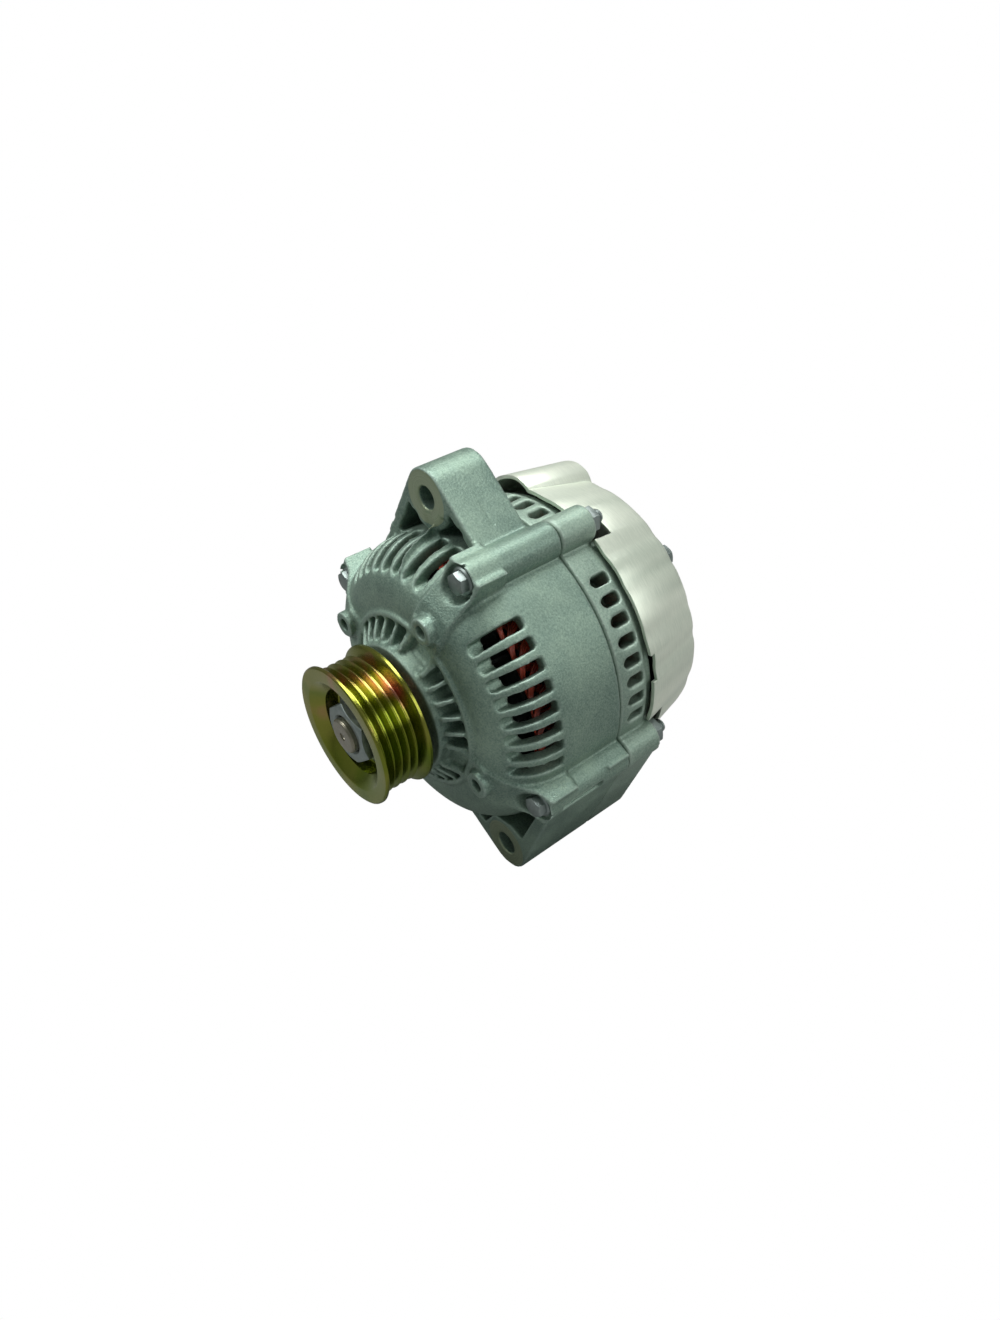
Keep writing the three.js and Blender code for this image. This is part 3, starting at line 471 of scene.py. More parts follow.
front_hollow = turned([
    (0, 44), (31.6, 44), (31.6, 41), (46, 41), (54, 46), (57.2, 53), (57.2, 63.4),
    (58.3, 63.4), (58.3, 89.2), (0, 89.2),
], 120)
front_solids, front_cuts = [], [front_hollow]
for degrees in BOLT_DEGREES:
    bolt_x, bolt_z = polar(BOLT_CIRCLE, degrees)
    eye_x, eye_z = polar(45.4, degrees)
    pad = [(37.5, 33.2), (46, 33.4), (53, 36.4), (59, 40.8), (64, 44.6), (70.6, 46.6), (70.6, 60), (37.5, 60)]
    raised_edge = [(27, 29.6), (38, 33.0), (46, 32.6), (46, 38), (27, 38)]
    front_solids += [
        slab(pad, 17.0, degrees),
        slab([(20, 28.6), (29, 31), (38, 34.4), (38, 41), (20, 41)], 15.0, degrees),
        bar(7.6, 46, 88.2, bolt_x, bolt_z),
        bar(5.6, 30.6, 40, eye_x, eye_z),
        # one raised edge on each side of the spoke and the pad
        slab(raised_edge, 1.8, degrees, 6.6),
        slab(raised_edge, 1.8, degrees, -6.6),
    ]
    front_cuts += [
        bar(3.4, 40, 90, bolt_x, bolt_z, 32),
        bar(7.0, 30, 48, bolt_x, bolt_z),
        bar(2.7, 20, 60, eye_x, eye_z, 32),
        slab([(28.6, 24), (28.6, 33), (35.4, 35.8), (35.4, 24)], 10.5, degrees),
        bar(2.0, 38, 60, *polar(29.4, degrees), 16),
    ]
# the lower right boss is a channelled ridge that ends in a block at the joint
front_solids.append(slab([(58, 77), (70.8, 77), (70.8, 88.2), (58, 88.2)], 14.0, BOLT_DEGREES[1]))
front_cuts.append(slab([(69.4, 53), (76, 53), (76, 74), (69.4, 74)], 5.0, BOLT_DEGREES[1]))
lug_outer = prism(lug_outline(LUG_CENTRE, 12.0, (33.0, 57.0), (-43.0, 46.0), 1), 58, 82)
lug = cut_out("lug", [lug_outer], [
    prism([(3.2, 64.4), (7, 66.0), (10.8, 69.3), (13.0, 73.6), (29.4, 54.3), (24, 50), (3.2, 50)], 40, 78),
    prism([
        (-3.2, 64.4), (-7, 66.0), (-10.8, 69.3), (-13.2, 73.6), (-39.4, 43.3), (-30, 42), (-3.2, 50),
    ], 40, 78),
])
web = slab([
    (46, 38), (56, 38.8), (60.6, 42), (64, 47.5), (66, 53.5), (68, 58.2), (70, 58.2), (70, 80), (46, 80),
], 4.6, 90.0)
foot_front_hollow = cut_out("foot_hollow", [prism(FOOT_POCKET, 49, 80)], [bar(61.8, 20, 120, 0, 0, 144)])
foot_front = cut_out("foot_front", [prism(FOOT_OUTLINE, 50, 88.2)], [foot_front_hollow])
front_solids += [lug, web, foot_front]
# a shallow mould mark across the lug's right wall
front_cuts.append(prism([(23.8, 66.3), (16.7, 74.8), (19.0, 76.7), (26.1, 68.2)], 69.3, 70.9))
front_cuts += [radial(slot_outline(37.5, 58.6, 5.0), 52.8, 72, degrees) for degrees in SLOT_DEGREES]
# fins that run from the hub tube out to the rim, with an open window between each two
FIN = [(26, 27.6), (29.5, 28.2), (33.0, 30.6), (36.8, 33.4), (36.8, 38), (26, 38)]
FIN_STEP = 12.4
for quarter in range(4):
    for k in range(6):
        front_solids.append(slab(FIN, 2.3, BETWEEN_BOLTS + quarter * 90 + (k - 2.5) * FIN_STEP))
    for k in range(5):
        middle = BETWEEN_BOLTS + quarter * 90 + (k - 2) * FIN_STEP
        front_cuts.append(prism([
            polar(29.0, middle - 4.5), polar(36.4, middle - 4.7),
            polar(36.4, middle + 4.7), polar(29.0, middle + 4.5),
        ], 30, 60))
front_cuts += [
    bar(13.6, 10, 31, 0, 0, 96),
    bar(23.8, 30, 60, 0, 0, 96),
    bar(LUG_HOLE, 40, 100, *LUG_CENTRE, 48),
    bar(FOOT_HOLE, 40, 100, *FOOT_CENTRE, 48),
]
drive_end = as_cast(cut_out("drive_end_casting", [front_shell, *front_solids], front_cuts))

# Cast skin: sandy grain, cloudy patches, lighter edges that are partly wear and partly painted highlight, and
# painted shade darkening the corners.
cast_skin, skin_in, skin_out = new_group(
    "cast_skin",
    [
        ("Dark", COLOUR, (0.1, 0.13, 0.11, 1)), ("Light", COLOUR, (0.3, 0.36, 0.31, 1)),
        ("Rubbed", COLOUR, (0.5, 0.57, 0.52, 1)), ("Grain per metre", FLOAT, 1300.0),
        ("Cloud per metre", FLOAT, 45.0), ("Rub", FLOAT, 0.8),
    ],
    [("Colour", COLOUR), ("Roughness", FLOAT), ("Height", FLOAT)],
)
skin_place = add(cast_skin, "ShaderNodeTexCoord")
skin_grain = add(cast_skin, "ShaderNodeTexNoise", {
    "Vector": skin_place.outputs["Object"], "Scale": skin_in.outputs["Grain per metre"],
    "Detail": 2.0, "Roughness": 0.65,
})
skin_cloud = add(cast_skin, "ShaderNodeTexNoise", {
    "Vector": skin_place.outputs["Object"], "Scale": skin_in.outputs["Cloud per metre"],
    "Detail": 6.0, "Roughness": 0.6,
})
skin_blend = add(cast_skin, "ShaderNodeMix", {
    "Factor": 0.5, "A": skin_grain.outputs["Fac"], "B": skin_cloud.outputs["Fac"],
})
skin_spread = add(cast_skin, "ShaderNodeMapRange", {
    "Value": skin_blend.outputs["Result"], "From Min": 0.36, "From Max": 0.64,
})
skin_tone = add(cast_skin, "ShaderNodeMix", {
    "Factor": skin_spread.outputs["Result"], "A": skin_in.outputs["Dark"], "B": skin_in.outputs["Light"],
}, data_type="RGBA")
skin_shape = add(cast_skin, "ShaderNodeNewGeometry")
# edges made lighter in colour: partly wear, partly a painted highlight
skin_edge_wear_and_highlight = add(cast_skin, "ShaderNodeMapRange", {
    "Value": skin_shape.outputs["Pointiness"], "From Min": 0.515, "From Max": 0.6,
})
skin_rub_and_highlight = add(cast_skin, "ShaderNodeMath", {
    0: skin_edge_wear_and_highlight.outputs["Result"], 1: skin_in.outputs["Rub"],
}, operation="MULTIPLY")
skin_worn_and_highlit = add(cast_skin, "ShaderNodeMix", {
    "Factor": skin_rub_and_highlight.outputs[0], "A": skin_tone.outputs["Result"], "B": skin_in.outputs["Rubbed"],
}, data_type="RGBA")
# corners and crevices darkened almost to black: painted shade
skin_crevice_shade = add(cast_skin, "ShaderNodeMapRange", {
    "Value": skin_shape.outputs["Pointiness"], "From Min": 0.485, "From Max": 0.4, "To Max": 0.7,
})
skin_with_painted_shade = add(cast_skin, "ShaderNodeMix", {
    "Factor": skin_crevice_shade.outputs["Result"], "A": skin_worn_and_highlit.outputs["Result"], "B": (0.03, 0.038, 0.03, 1),
}, data_type="RGBA")
skin_rough = add(cast_skin, "ShaderNodeMapRange", {
    "Value": skin_cloud.outputs["Fac"], "From Min": 0.3, "From Max": 0.7, "To Min": 0.42, "To Max": 0.6,
})
cast_skin.links.new(skin_with_painted_shade.outputs["Result"], skin_out.inputs["Colour"])
cast_skin.links.new(skin_rough.outputs["Result"], skin_out.inputs["Roughness"])
cast_skin.links.new(skin_grain.outputs["Fac"], skin_out.inputs["Height"])

# A machined spot: 1 inside a radius of an axis parallel to the shaft and in front of a plane.
machined_spot, spot_in, spot_out = new_group(
    "machined_spot",
    [("Centre", VECTOR, (0, 0, 0)), ("Radius", FLOAT, 0.0112), ("Plane", FLOAT, 0.0583)],
    [("Mask", FLOAT)],
)
spot_place = add(machined_spot, "ShaderNodeTexCoord")
spot_offset = add(machined_spot, "ShaderNodeVectorMath", {
    0: spot_place.outputs["Object"], 1: spot_in.outputs["Centre"],
}, operation="SUBTRACT")
spot_flat = add(machined_spot, "ShaderNodeVectorMath", {
    0: spot_offset.outputs[0], 1: (1, 0, 1),
}, operation="MULTIPLY")
spot_radius = add(machined_spot, "ShaderNodeVectorMath", {0: spot_flat.outputs[0]}, operation="LENGTH")
spot_near = add(machined_spot, "ShaderNodeMath", {
    0: spot_radius.outputs["Value"], 1: spot_in.outputs["Radius"],
}, operation="LESS_THAN")
spot_axis = add(machined_spot, "ShaderNodeSeparateXYZ", {0: spot_place.outputs["Object"]})
spot_front = add(machined_spot, "ShaderNodeMath", {
    0: spot_axis.outputs["Y"], 1: spot_in.outputs["Plane"],
}, operation="LESS_THAN")
spot_both = add(machined_spot, "ShaderNodeMath", {
    0: spot_near.outputs[0], 1: spot_front.outputs[0],
}, operation="MULTIPLY")
machined_spot.links.new(spot_both.outputs[0], spot_out.inputs["Mask"])


def cast_aluminium(name, dark, light, worn_and_highlit, spots=()):
    """Cast skin, with bare turned metal on each machined spot."""
    material, tree, shader = new_material(name, 0.62, 0.5)
    # the third colour lightens the edges, partly as wear and partly as a painted highlight
    skin = use_group(tree, cast_skin, Dark=(*dark, 1), Light=(*light, 1), Rubbed=(*worn_and_highlit, 1))
    colour, rough = skin.outputs["Colour"], skin.outputs["Roughness"]
    for (x, z), plane in spots:
        centre = (x * MM, 0.0, z * MM)
        spot = use_group(tree, machined_spot, Centre=centre, Plane=plane * MM)
        marks = use_group(tree, turning_marks, Centre=centre, Rings_per_metre=2200.0)
        bare = add(tree, "ShaderNodeMix", {
            "Factor": marks.outputs["Streak"], "A": (0.2, 0.25, 0.15, 1), "B": (0.42, 0.5, 0.34, 1),
        }, data_type="RGBA")
        colour = add(tree, "ShaderNodeMix", {
            "Factor": spot.outputs["Mask"], "A": colour, "B": bare.outputs["Result"],
        }, data_type="RGBA").outputs["Result"]
        rough = add(tree, "ShaderNodeMix", {
            "Factor": spot.outputs["Mask"], "A": rough, "B": 0.33,
        }).outputs["Result"]
    tree.links.new(colour, shader.inputs["Base Color"])
    tree.links.new(rough, shader.inputs["Roughness"])
    relief(tree, shader, skin.outputs["Height"], 0.00022, 0.8)
    return material


front_metal = cast_aluminium(
    "cast_aluminium_front", (0.14, 0.215, 0.18), (0.31, 0.42, 0.335), (0.52, 0.64, 0.57),
    ((LUG_CENTRE, 58.6), (FOOT_CENTRE, 50.6)),
)
finished(drive_end, front_metal)
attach(drive_end, "housing")
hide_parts("drive_end_housing")

# ---------- rear housing ----------
# The second casting closes the barrel at the thin joint line, carries the rear air slots, the rear half of
# the pivot foot and three posts for the cover. The same alloy, a little paler.
rear_shell = turned([
    (0, 88.6), (62.8, 88.6), (62.8, 100.4), *smoothed([(62.7, 101.4), (62.2, 103.0), (61.0, 104.0)], 3),
    (61.0, 107.0), (57.6, 107.0), (57.6, 104), (21.4, 104), (21.4, 106.2), (0, 106.2),
], 180)
rear_hollow = cut_out("rear_hollow", [turned([
    (0, 87), (58.3, 87), (58.3, 91.2), (57.4, 91.2), (57.4, 96), (54, 100), (21.4, 100),
    (21.4, 95.2), (0, 95.2),
], 120)], [turned([(17.8, 94.4), (21.4, 94.4), (21.4, 101), (17.8, 101)], 72)])
POST_DEGREES = (38.0, 172.0, -98.0)
POST_CIRCLE = 46.0
rear_solids, rear_cuts = [], [rear_hollow, bar(17.8, 90, 103.8, 0, 0, 72), bar(12.4, 90, 120, 0, 0, 72)]
for degrees in BOLT_DEGREES:
    rear_solids.append(bar(7.6, 88.6, 106, *polar(BOLT_CIRCLE, degrees)))
    rear_cuts.append(bar(3.4, 80, 120, *polar(BOLT_CIRCLE, degrees), 32))
    rear_cuts.append(bar(6.6, 106, 112, *polar(BOLT_CIRCLE, degrees)))
for degrees in POST_DEGREES:
    rear_solids.append(bar(4.6, 100, 138, *polar(POST_CIRCLE, degrees), 32))
    rear_cuts.append(bar(2.6, 122, 140, *polar(POST_CIRCLE, degrees), 24))
rear_cuts += [radial(slot_outline(92.8, 101.4, 4.8), 52.0, 72, degrees) for degrees in SLOT_DEGREES]
for k in range(8):
    middle = BETWEEN_BOLTS + 45 * k
    outer_arc = [polar(39.0, middle + d) for d in (-16, -8, 0, 8, 16)]
    inner_arc = [polar(25.0, middle + 16), polar(25.0, middle)]
    rear_cuts.append(prism([polar(25.0, middle - 16), *outer_arc, *inner_arc], 98, 105))
rear_cuts.append(bar(FOOT_HOLE, 80, 120, *FOOT_CENTRE, 48))
foot_rear_hollow = cut_out("foot_rear_hollow", [prism(FOOT_POCKET, 96, 111)], [bar(63.4, 80, 120, 0, 0, 144)])
foot_rear = cut_out("foot_rear", [prism(FOOT_OUTLINE, 88.6, 110)], [
    foot_rear_hollow, bar(66.6, 104, 130, 0, 0, 144),
    bar(9.4, 106, 130, *polar(BOLT_CIRCLE, BOLT_DEGREES[1])),
])
rear_solids.append(foot_rear)
rear_end = as_cast(cut_out("rear_casting", [rear_shell, *rear_solids], rear_cuts))
rear_metal = cast_aluminium(
    "cast_aluminium_rear", (0.2, 0.28, 0.23), (0.36, 0.47, 0.385), (0.6, 0.7, 0.62),
)
finished(rear_end, rear_metal)
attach(rear_end, "housing")
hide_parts("rear_housing")

# ---------- through bolts and their nuts ----------
# Four long zinc plated bolts draw the two castings together; their threaded tips stand out of the nuts.
# Heads and nuts are cold formed with the corners taken off. The small retainer screws have the same finish.
zinc_plate, zinc_tree, zinc_shader = new_material("zinc_plate", 1.0, 0.3)
zinc_place = add(zinc_tree, "ShaderNodeTexCoord")
zinc_noise = add(zinc_tree, "ShaderNodeTexNoise", {
    "Vector": zinc_place.outputs["Object"], "Scale": 420.0, "Detail": 5.0, "Roughness": 0.6,
})
zinc_tone = add(zinc_tree, "ShaderNodeMix", {
    "Factor": zinc_noise.outputs["Fac"], "A": (0.16, 0.2, 0.19, 1), "B": (0.42, 0.48, 0.46, 1),
}, data_type="RGBA")
zinc_rough = add(zinc_tree, "ShaderNodeMapRange", {
    "Value": zinc_noise.outputs["Fac"], "To Min": 0.34, "To Max": 0.6,
})
zinc_tree.links.new(zinc_tone.outputs["Result"], zinc_shader.inputs["Base Color"])
zinc_tree.links.new(zinc_rough.outputs["Result"], zinc_shader.inputs["Roughness"])
relief(zinc_tree, zinc_shader, zinc_noise.outputs["Fac"], 0.00006)


def threaded(radius, depth, pitch, y0, y1, x, z, segments=28):
    """A bar with a real helical ridge, closed at both ends."""
    rows = max(2, round((y1 - y0) / pitch * 6))
    points = []
    for row in range(rows + 1):
        y = y0 + (y1 - y0) * row / rows
        fade = min(1.0, (rows - row) / 4.0)
        for k in range(segments):
            angle = 2 * math.pi * k / segments
            phase = (y / pitch - k / segments) % 1.0
            reach = radius - depth * (1 - abs(2 * phase - 1) * fade)
            points.append((x + reach * math.cos(angle), y, z + reach * math.sin(angle)))
    last = rows * segments
    faces = [tuple(range(segments)), tuple(range(last + segments - 1, last - 1, -1))]
    for row in range(rows):
        for k in range(segments):
            a, b = row * segments + k, row * segments + (k + 1) % segments
            faces.append((a, b, b + segments, a + segments))
    return raw_solid(points, faces)


def hexagon(across_flats, y0, y1, x, z):
    """A hex block, parallel to the shaft."""
    corners = [polar(across_flats / math.sqrt(3), 30 + 60 * k) for k in range(6)]
    return prism([(x + a, z + b) for a, b in corners], y0, y1)


def chamfer(across_flats, y0, y1, x, z, front=True, back=True):
    """The cone that takes the corners off a nut or bolt head."""
    small, wide = across_flats / 2 - 0.1, across_flats / math.sqrt(3) + 0.1
    rise = (wide - small) * 0.55
    profile = [
        (0, y0), (small if front else wide, y0), (wide, y0 + rise),
        (wide, y1 - rise), (small if back else wide, y1), (0, y1),
    ]
    return turned(profile, 72, x, z)


def crisp(piece, material, width=0.18):
    """Small broken edges and smooth curved faces for machined and pressed pieces."""
    name = piece.name
    edge = piece.modifiers.new("broken_edges", "BEVEL")
    edge.width = width * MM
    edge.segments = 2
    edge.limit_method = "ANGLE"
    edge.angle_limit = math.radians(40)
    edge.use_clamp_overlap = True
    made = settled(piece, name)
    made.data.shade_smooth()
    made.data.set_sharp_from_angle(angle=math.radians(35))
    return finished(made, material)


for k, degrees in enumerate(BOLT_DEGREES, 1):
    x, z = polar(BOLT_CIRCLE, degrees)
    head = cut_out("head", [hexagon(8.0, 43.2, 46.9, x, z)], [], chamfer(8.0, 43.2, 46.9, x, z, back=False))
    flange = turned([(0, 46.4), (5.0, 46.4), (5.6, 47.0), (5.6, 47.7), (0, 47.7)], 48, x, z)
    shank = bar(3.0, 46.5, 104.0, x, z, 32)
    tip = threaded(3.0, 0.4, 1.0, 103.5, 114.0, x, z)
    bolt = crisp(cut_out(f"housing_bolt_{k}", [shank, head, flange, tip], []), zinc_plate, 0.12)
    nut = crisp(cut_out(
        f"housing_nut_{k}", [hexagon(10.0, 106.3, 110.3, x, z)], [bar(3.15, 104, 112, x, z, 32)],
        chamfer(10.0, 106.3, 110.3, x, z, front=False),
    ), zinc_plate)
    for piece, node in ((bolt, f"through_bolt_{k}"), (nut, f"bolt_nut_{k}")):
        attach(piece, "housing")
        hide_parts(node)
dress(zinc_plate, "retainer_screw_1", "retainer_screw_2", "retainer_screw_3", "retainer_screw_4")

# ---------- rectifier plates and diodes ----------
# Two flat aluminium plates under the cover hold six pressed in diodes and carry their heat away.
# They and the regulator stay as packed: dull sheet and zinc plated diode cups.
plate_metal = turned_metal("plate_aluminium", (0.1, 0.1, 0.1), (0.2, 0.2, 0.2), 0.6, rings=600.0)
dress(plate_metal, "ground_heat_sink", "positive_heat_sink", "voltage_regulator")
dress(
    zinc_plate, "ground_diode_1", "ground_diode_2", "ground_diode_3",
    "positive_diode_1", "positive_diode_2", "positive_diode_3",
)

# ---------- slip rings and brush gear ----------
# Two turned copper rings on a moulded sleeve at the shaft's rear end. Two pressed carbon brushes slide
# in a moulded holder, each pushed on to its ring by a coiled steel spring.
copper = turned_metal("bare_copper", (0.45, 0.2, 0.1), (0.78, 0.42, 0.25), 0.28, rings=4000.0)
dress(copper, "slip_ring_front", "slip_ring_rear")
dress(ground_steel, "brush_spring_1", "brush_spring_2")
moulding, moulding_tree, moulding_shader = new_material("black_moulding", 0.0, 0.5)
moulding_place = add(moulding_tree, "ShaderNodeTexCoord")
moulding_grain = add(moulding_tree, "ShaderNodeTexNoise", {
    "Vector": moulding_place.outputs["Object"], "Scale": 1700.0, "Detail": 3.0,
})
moulding_tone = add(moulding_tree, "ShaderNodeMix", {
    "Factor": moulding_grain.outputs["Fac"], "A": (0.008, 0.008, 0.009, 1), "B": (0.035, 0.036, 0.038, 1),
}, data_type="RGBA")
moulding_rough = add(moulding_tree, "ShaderNodeMapRange", {
    "Value": moulding_grain.outputs["Fac"], "To Min": 0.4, "To Max": 0.62,
})
moulding_tree.links.new(moulding_tone.outputs["Result"], moulding_shader.inputs["Base Color"])
moulding_tree.links.new(moulding_rough.outputs["Result"], moulding_shader.inputs["Roughness"])
relief(moulding_tree, moulding_shader, moulding_grain.outputs["Fac"], 0.00008)
dress(moulding, "slip_ring_insulator", "brush_holder")
pressed_carbon = turned_metal(
    "pressed_carbon", (0.012, 0.012, 0.013), (0.05, 0.05, 0.052), 0.45, rings=1500.0, metallic=0.3,
)
dress(pressed_carbon, "brush_1", "brush_2")

# ---------- connector socket ----------
# A moulded rectangular mouth for the wiring plug, standing out of the raised corner of the cover.
# Black plastic, made in one moulding, with two flat copper pins set in its floor.


def block(x0, x1, y0, y1, z0, z1):
    """A plain square block between its six faces."""
    outline = [(x0, y0), (x1, y0), (x1, y1), (x0, y1)]
    return run(outline, lambda a, b, end: (a, b, (z0, z1)[end]))


dress(copper, "connector_pin_1", "connector_pin_2")
socket_body = block(-24, -8, 118, 143, 36.6, 47.6)
socket_mouth = block(-22.7, -9.3, 130, 144, 37.9, 46.3)
pin_slots = [block(x - 0.6, x + 0.6, 126, 131, 40.4, 43.8) for x in (-19.0, -13.0)]
socket = crisp(cut_out("wiring_socket", [socket_body], [socket_mouth, *pin_slots]), moulding, 0.35)
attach(socket, "housing")
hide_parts("connector_socket")

# ---------- output stud ----------
# A threaded stud from the positive plate, through a moulded bush in the cover, with one hex nut on it.
# Stud and nut are zinc plated steel; the bush keeps them clear of the cover's metal.
STUD_X, STUD_Z = polar(36.0, -172.0)
stud = crisp(cut_out("power_stud", [
    hexagon(11.0, 112.6, 119.7, STUD_X, STUD_Z), bar(3.0, 112.8, 141.0, STUD_X, STUD_Z, 32),
    threaded(3.0, 0.4, 1.0, 140.5, 158.0, STUD_X, STUD_Z),
], []), zinc_plate, 0.12)
stud_bush = crisp(cut_out("power_stud_bush", [
    bar(5.4, 123.3, 144.4, STUD_X, STUD_Z, 56), bar(8.6, 139.9, 144.4, STUD_X, STUD_Z, 56),
], [bar(3.3, 120, 146, STUD_X, STUD_Z, 40)]), moulding, 0.4)
stud_nut = crisp(cut_out(
    "power_stud_nut", [hexagon(11.0, 144.8, 150.4, STUD_X, STUD_Z)],
    [bar(3.15, 140, 156, STUD_X, STUD_Z, 32)],
    chamfer(11.0, 144.8, 150.4, STUD_X, STUD_Z),
), zinc_plate)
for piece, node, finish in (
    (stud, "output_stud", "bright_zinc"), (stud_bush, "output_insulator", "black_plastic"),
    (stud_nut, "output_nut", "bright_zinc"),
):
    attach(piece, "housing")
    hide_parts(node)

# ---------- rear cover ----------
# A pressed sheet cup over the rectifier, tapered to the back, with a raised corner over the connector and
# faint draw creases down its wall. Plated sheet with a satin brushed face.
SHEET = 1.2


def draw_creases(degrees, radius):
    """Shallow steps that the press leaves down the wall, in millimetres; none on the flat back."""
    if radius < 50:
        return 0.0
    total = 0.0
    for centre, drop, width in (
        (47, 0.8, 3.2), (34, 0.6, 2.6), (14, 0.5, 3.0), (1, 0.8, 2.6), (-22, 0.6, 4.0),
        (-70, 0.6, 4), (-135, 0.6, 4), (165, 0.6, 4), (80, 0.5, 4),
    ):
        away = (degrees - centre + 180) % 360 - 180
        total -= drop * math.exp(-(away / width) ** 2)
    return total


def cover_shell(inset, front):
    """The cup and its raised corner, drawn in by inset all round and open at front."""
    corner = smoothed([
        (58.2 - inset, 133.5), (56.6 - inset, 137.2 - inset / 2), (53 - inset / 2, 139.5 - inset),
    ], 6)
    cup = turned([(0, front), (64.6 - inset, front), *corner, (0, 139.5 - inset)], 180, swell=draw_creases)
    raised = smoothed([
        (6 - inset, 50), (3 - inset, 63.0 - inset), (-1.5 - inset / 2, 67.2 - inset), (-8, 68.6 - inset),
        (-17 + inset / 3, 66.4 - inset), (-23 + inset / 2, 61.8 - inset), (-27 + inset, 57.2 - inset),
        (-24 + inset, 48),
    ], 4)
    return [cup, prism(raised, front, 137.5 - inset, 0.93)]


# Brushed sheet: long streaks round the wall, broad soft patches, and broad lighter and darker bands down the
# wall that are painted highlights.
brushed_sheet, brushed_in, brushed_out = new_group(
    "brushed_sheet",
    [
        ("Dark", COLOUR, (0.5, 0.5, 0.45, 1)), ("Light", COLOUR, (0.85, 0.86, 0.78, 1)),
        ("Streaks per metre", FLOAT, 1600.0),
    ],
    [("Colour", COLOUR), ("Roughness", FLOAT), ("Height", FLOAT)],
)
brushed_place = add(brushed_sheet, "ShaderNodeTexCoord")
brushed_axis = add(brushed_sheet, "ShaderNodeSeparateXYZ", {0: brushed_place.outputs["Object"]})
brushed_angle = add(brushed_sheet, "ShaderNodeMath", {
    0: brushed_axis.outputs["Z"], 1: brushed_axis.outputs["X"],
}, operation="ARCTAN2")
brushed_pair = add(brushed_sheet, "ShaderNodeCombineXYZ", {
    "X": brushed_angle.outputs[0], "Y": brushed_axis.outputs["Y"],
})
brushed_step = add(brushed_sheet, "ShaderNodeVectorMath", {
    0: brushed_pair.outputs[0], "Scale": brushed_in.outputs["Streaks per metre"],
}, operation="SCALE")
brushed_squash = add(brushed_sheet, "ShaderNodeVectorMath", {
    0: brushed_step.outputs[0], 1: (0.006, 1.0, 1.0),
}, operation="MULTIPLY")
brushed_lines = add(brushed_sheet, "ShaderNodeTexNoise", {
    "Vector": brushed_squash.outputs[0], "Scale": 1.0, "Detail": 4.0, "Roughness": 0.7,
})
brushed_patch = add(brushed_sheet, "ShaderNodeTexNoise", {
    "Vector": brushed_place.outputs["Object"], "Scale": 28.0, "Detail": 4.0,
})
# broad bands down the wall, lighter and darker in turn: painted highlights
painted_highlight_stretch = add(brushed_sheet, "ShaderNodeVectorMath", {
    0: brushed_pair.outputs[0], 1: (3.2, 5.0, 1.0),
}, operation="MULTIPLY")
painted_highlight_bands = add(brushed_sheet, "ShaderNodeTexNoise", {
    "Vector": painted_highlight_stretch.outputs[0], "Scale": 1.0, "Detail": 2.0, "Roughness": 0.55,
})
streaks_and_painted_highlights = add(brushed_sheet, "ShaderNodeMix", {
    "Factor": 0.7, "A": brushed_lines.outputs["Fac"], "B": painted_highlight_bands.outputs["Fac"],
})
# the flat back has no direction of its own, so only the patches show there
brushed_wall = add(brushed_sheet, "ShaderNodeMapRange", {
    "Value": brushed_axis.outputs["Y"], "From Min": 0.139, "From Max": 0.137,
})
brushed_mixed = add(brushed_sheet, "ShaderNodeMix", {
    "Factor": brushed_wall.outputs["Result"],
    "A": brushed_patch.outputs["Fac"], "B": streaks_and_painted_highlights.outputs["Result"],
})
brushed_blend = add(brushed_sheet, "ShaderNodeMapRange", {
    "Value": brushed_mixed.outputs["Result"], "From Min": 0.32, "From Max": 0.66,
})
brushed_tone = add(brushed_sheet, "ShaderNodeMix", {
    "Factor": brushed_blend.outputs["Result"],
    "A": brushed_in.outputs["Dark"], "B": brushed_in.outputs["Light"],
}, data_type="RGBA")
brushed_rough = add(brushed_sheet, "ShaderNodeMapRange", {
    "Value": brushed_lines.outputs["Fac"], "To Min": 0.26, "To Max": 0.48,
})
brushed_sheet.links.new(brushed_tone.outputs["Result"], brushed_out.inputs["Colour"])
brushed_sheet.links.new(brushed_rough.outputs["Result"], brushed_out.inputs["Roughness"])
brushed_sheet.links.new(brushed_lines.outputs["Fac"], brushed_out.inputs["Height"])
cover_metal, cover_tree, cover_shader = new_material("plated_sheet", 0.6, 0.36)
cover_skin = use_group(cover_tree, brushed_sheet, Dark=(0.58, 0.66, 0.55, 1), Light=(0.95, 1.0, 0.86, 1))
cover_tree.links.new(cover_skin.outputs["Colour"], cover_shader.inputs["Base Color"])
cover_tree.links.new(cover_skin.outputs["Roughness"], cover_shader.inputs["Roughness"])
relief(cover_tree, cover_shader, cover_skin.outputs["Height"], 0.00004)

# The shell, less bolt recesses, screw holes, stud hole, connector mouth, side notch and vents.
cover_cuts = [bar(8.4, 100, 115.2, *polar(BOLT_CIRCLE, degrees), 56) for degrees in BOLT_DEGREES]
cover_cuts += [bar(2.6, 130, 141, *polar(POST_CIRCLE, degrees), 24) for degrees in POST_DEGREES]
cover_cuts.append(bar(5.8, 130, 141, STUD_X, STUD_Z, 40))
cover_cuts.append(prism([(-24.5, 36.1), (-7.5, 36.1), (-7.5, 48.1), (-24.5, 48.1)], 130, 141))
cover_cuts.append(slab([(58, 100), (70, 100), (70, 107.4), (58, 107.4)], 12.0, 3.0, -1.0))
for degrees in (0, 72, -52, -104):
    for across in (-5, 0, 5):
        cover_cuts.append(slab([(15, 136), (30, 136), (30, 141), (15, 141)], 3.2, degrees, across))
cover_inside = cut_out("cover_inside", cover_shell(SHEET, 103), [])
cover = crisp(cut_out("end_cover", cover_shell(0.0, 105), [cover_inside, *cover_cuts]), cover_metal, 0.3)
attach(cover, "housing")
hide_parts("rear_cover")

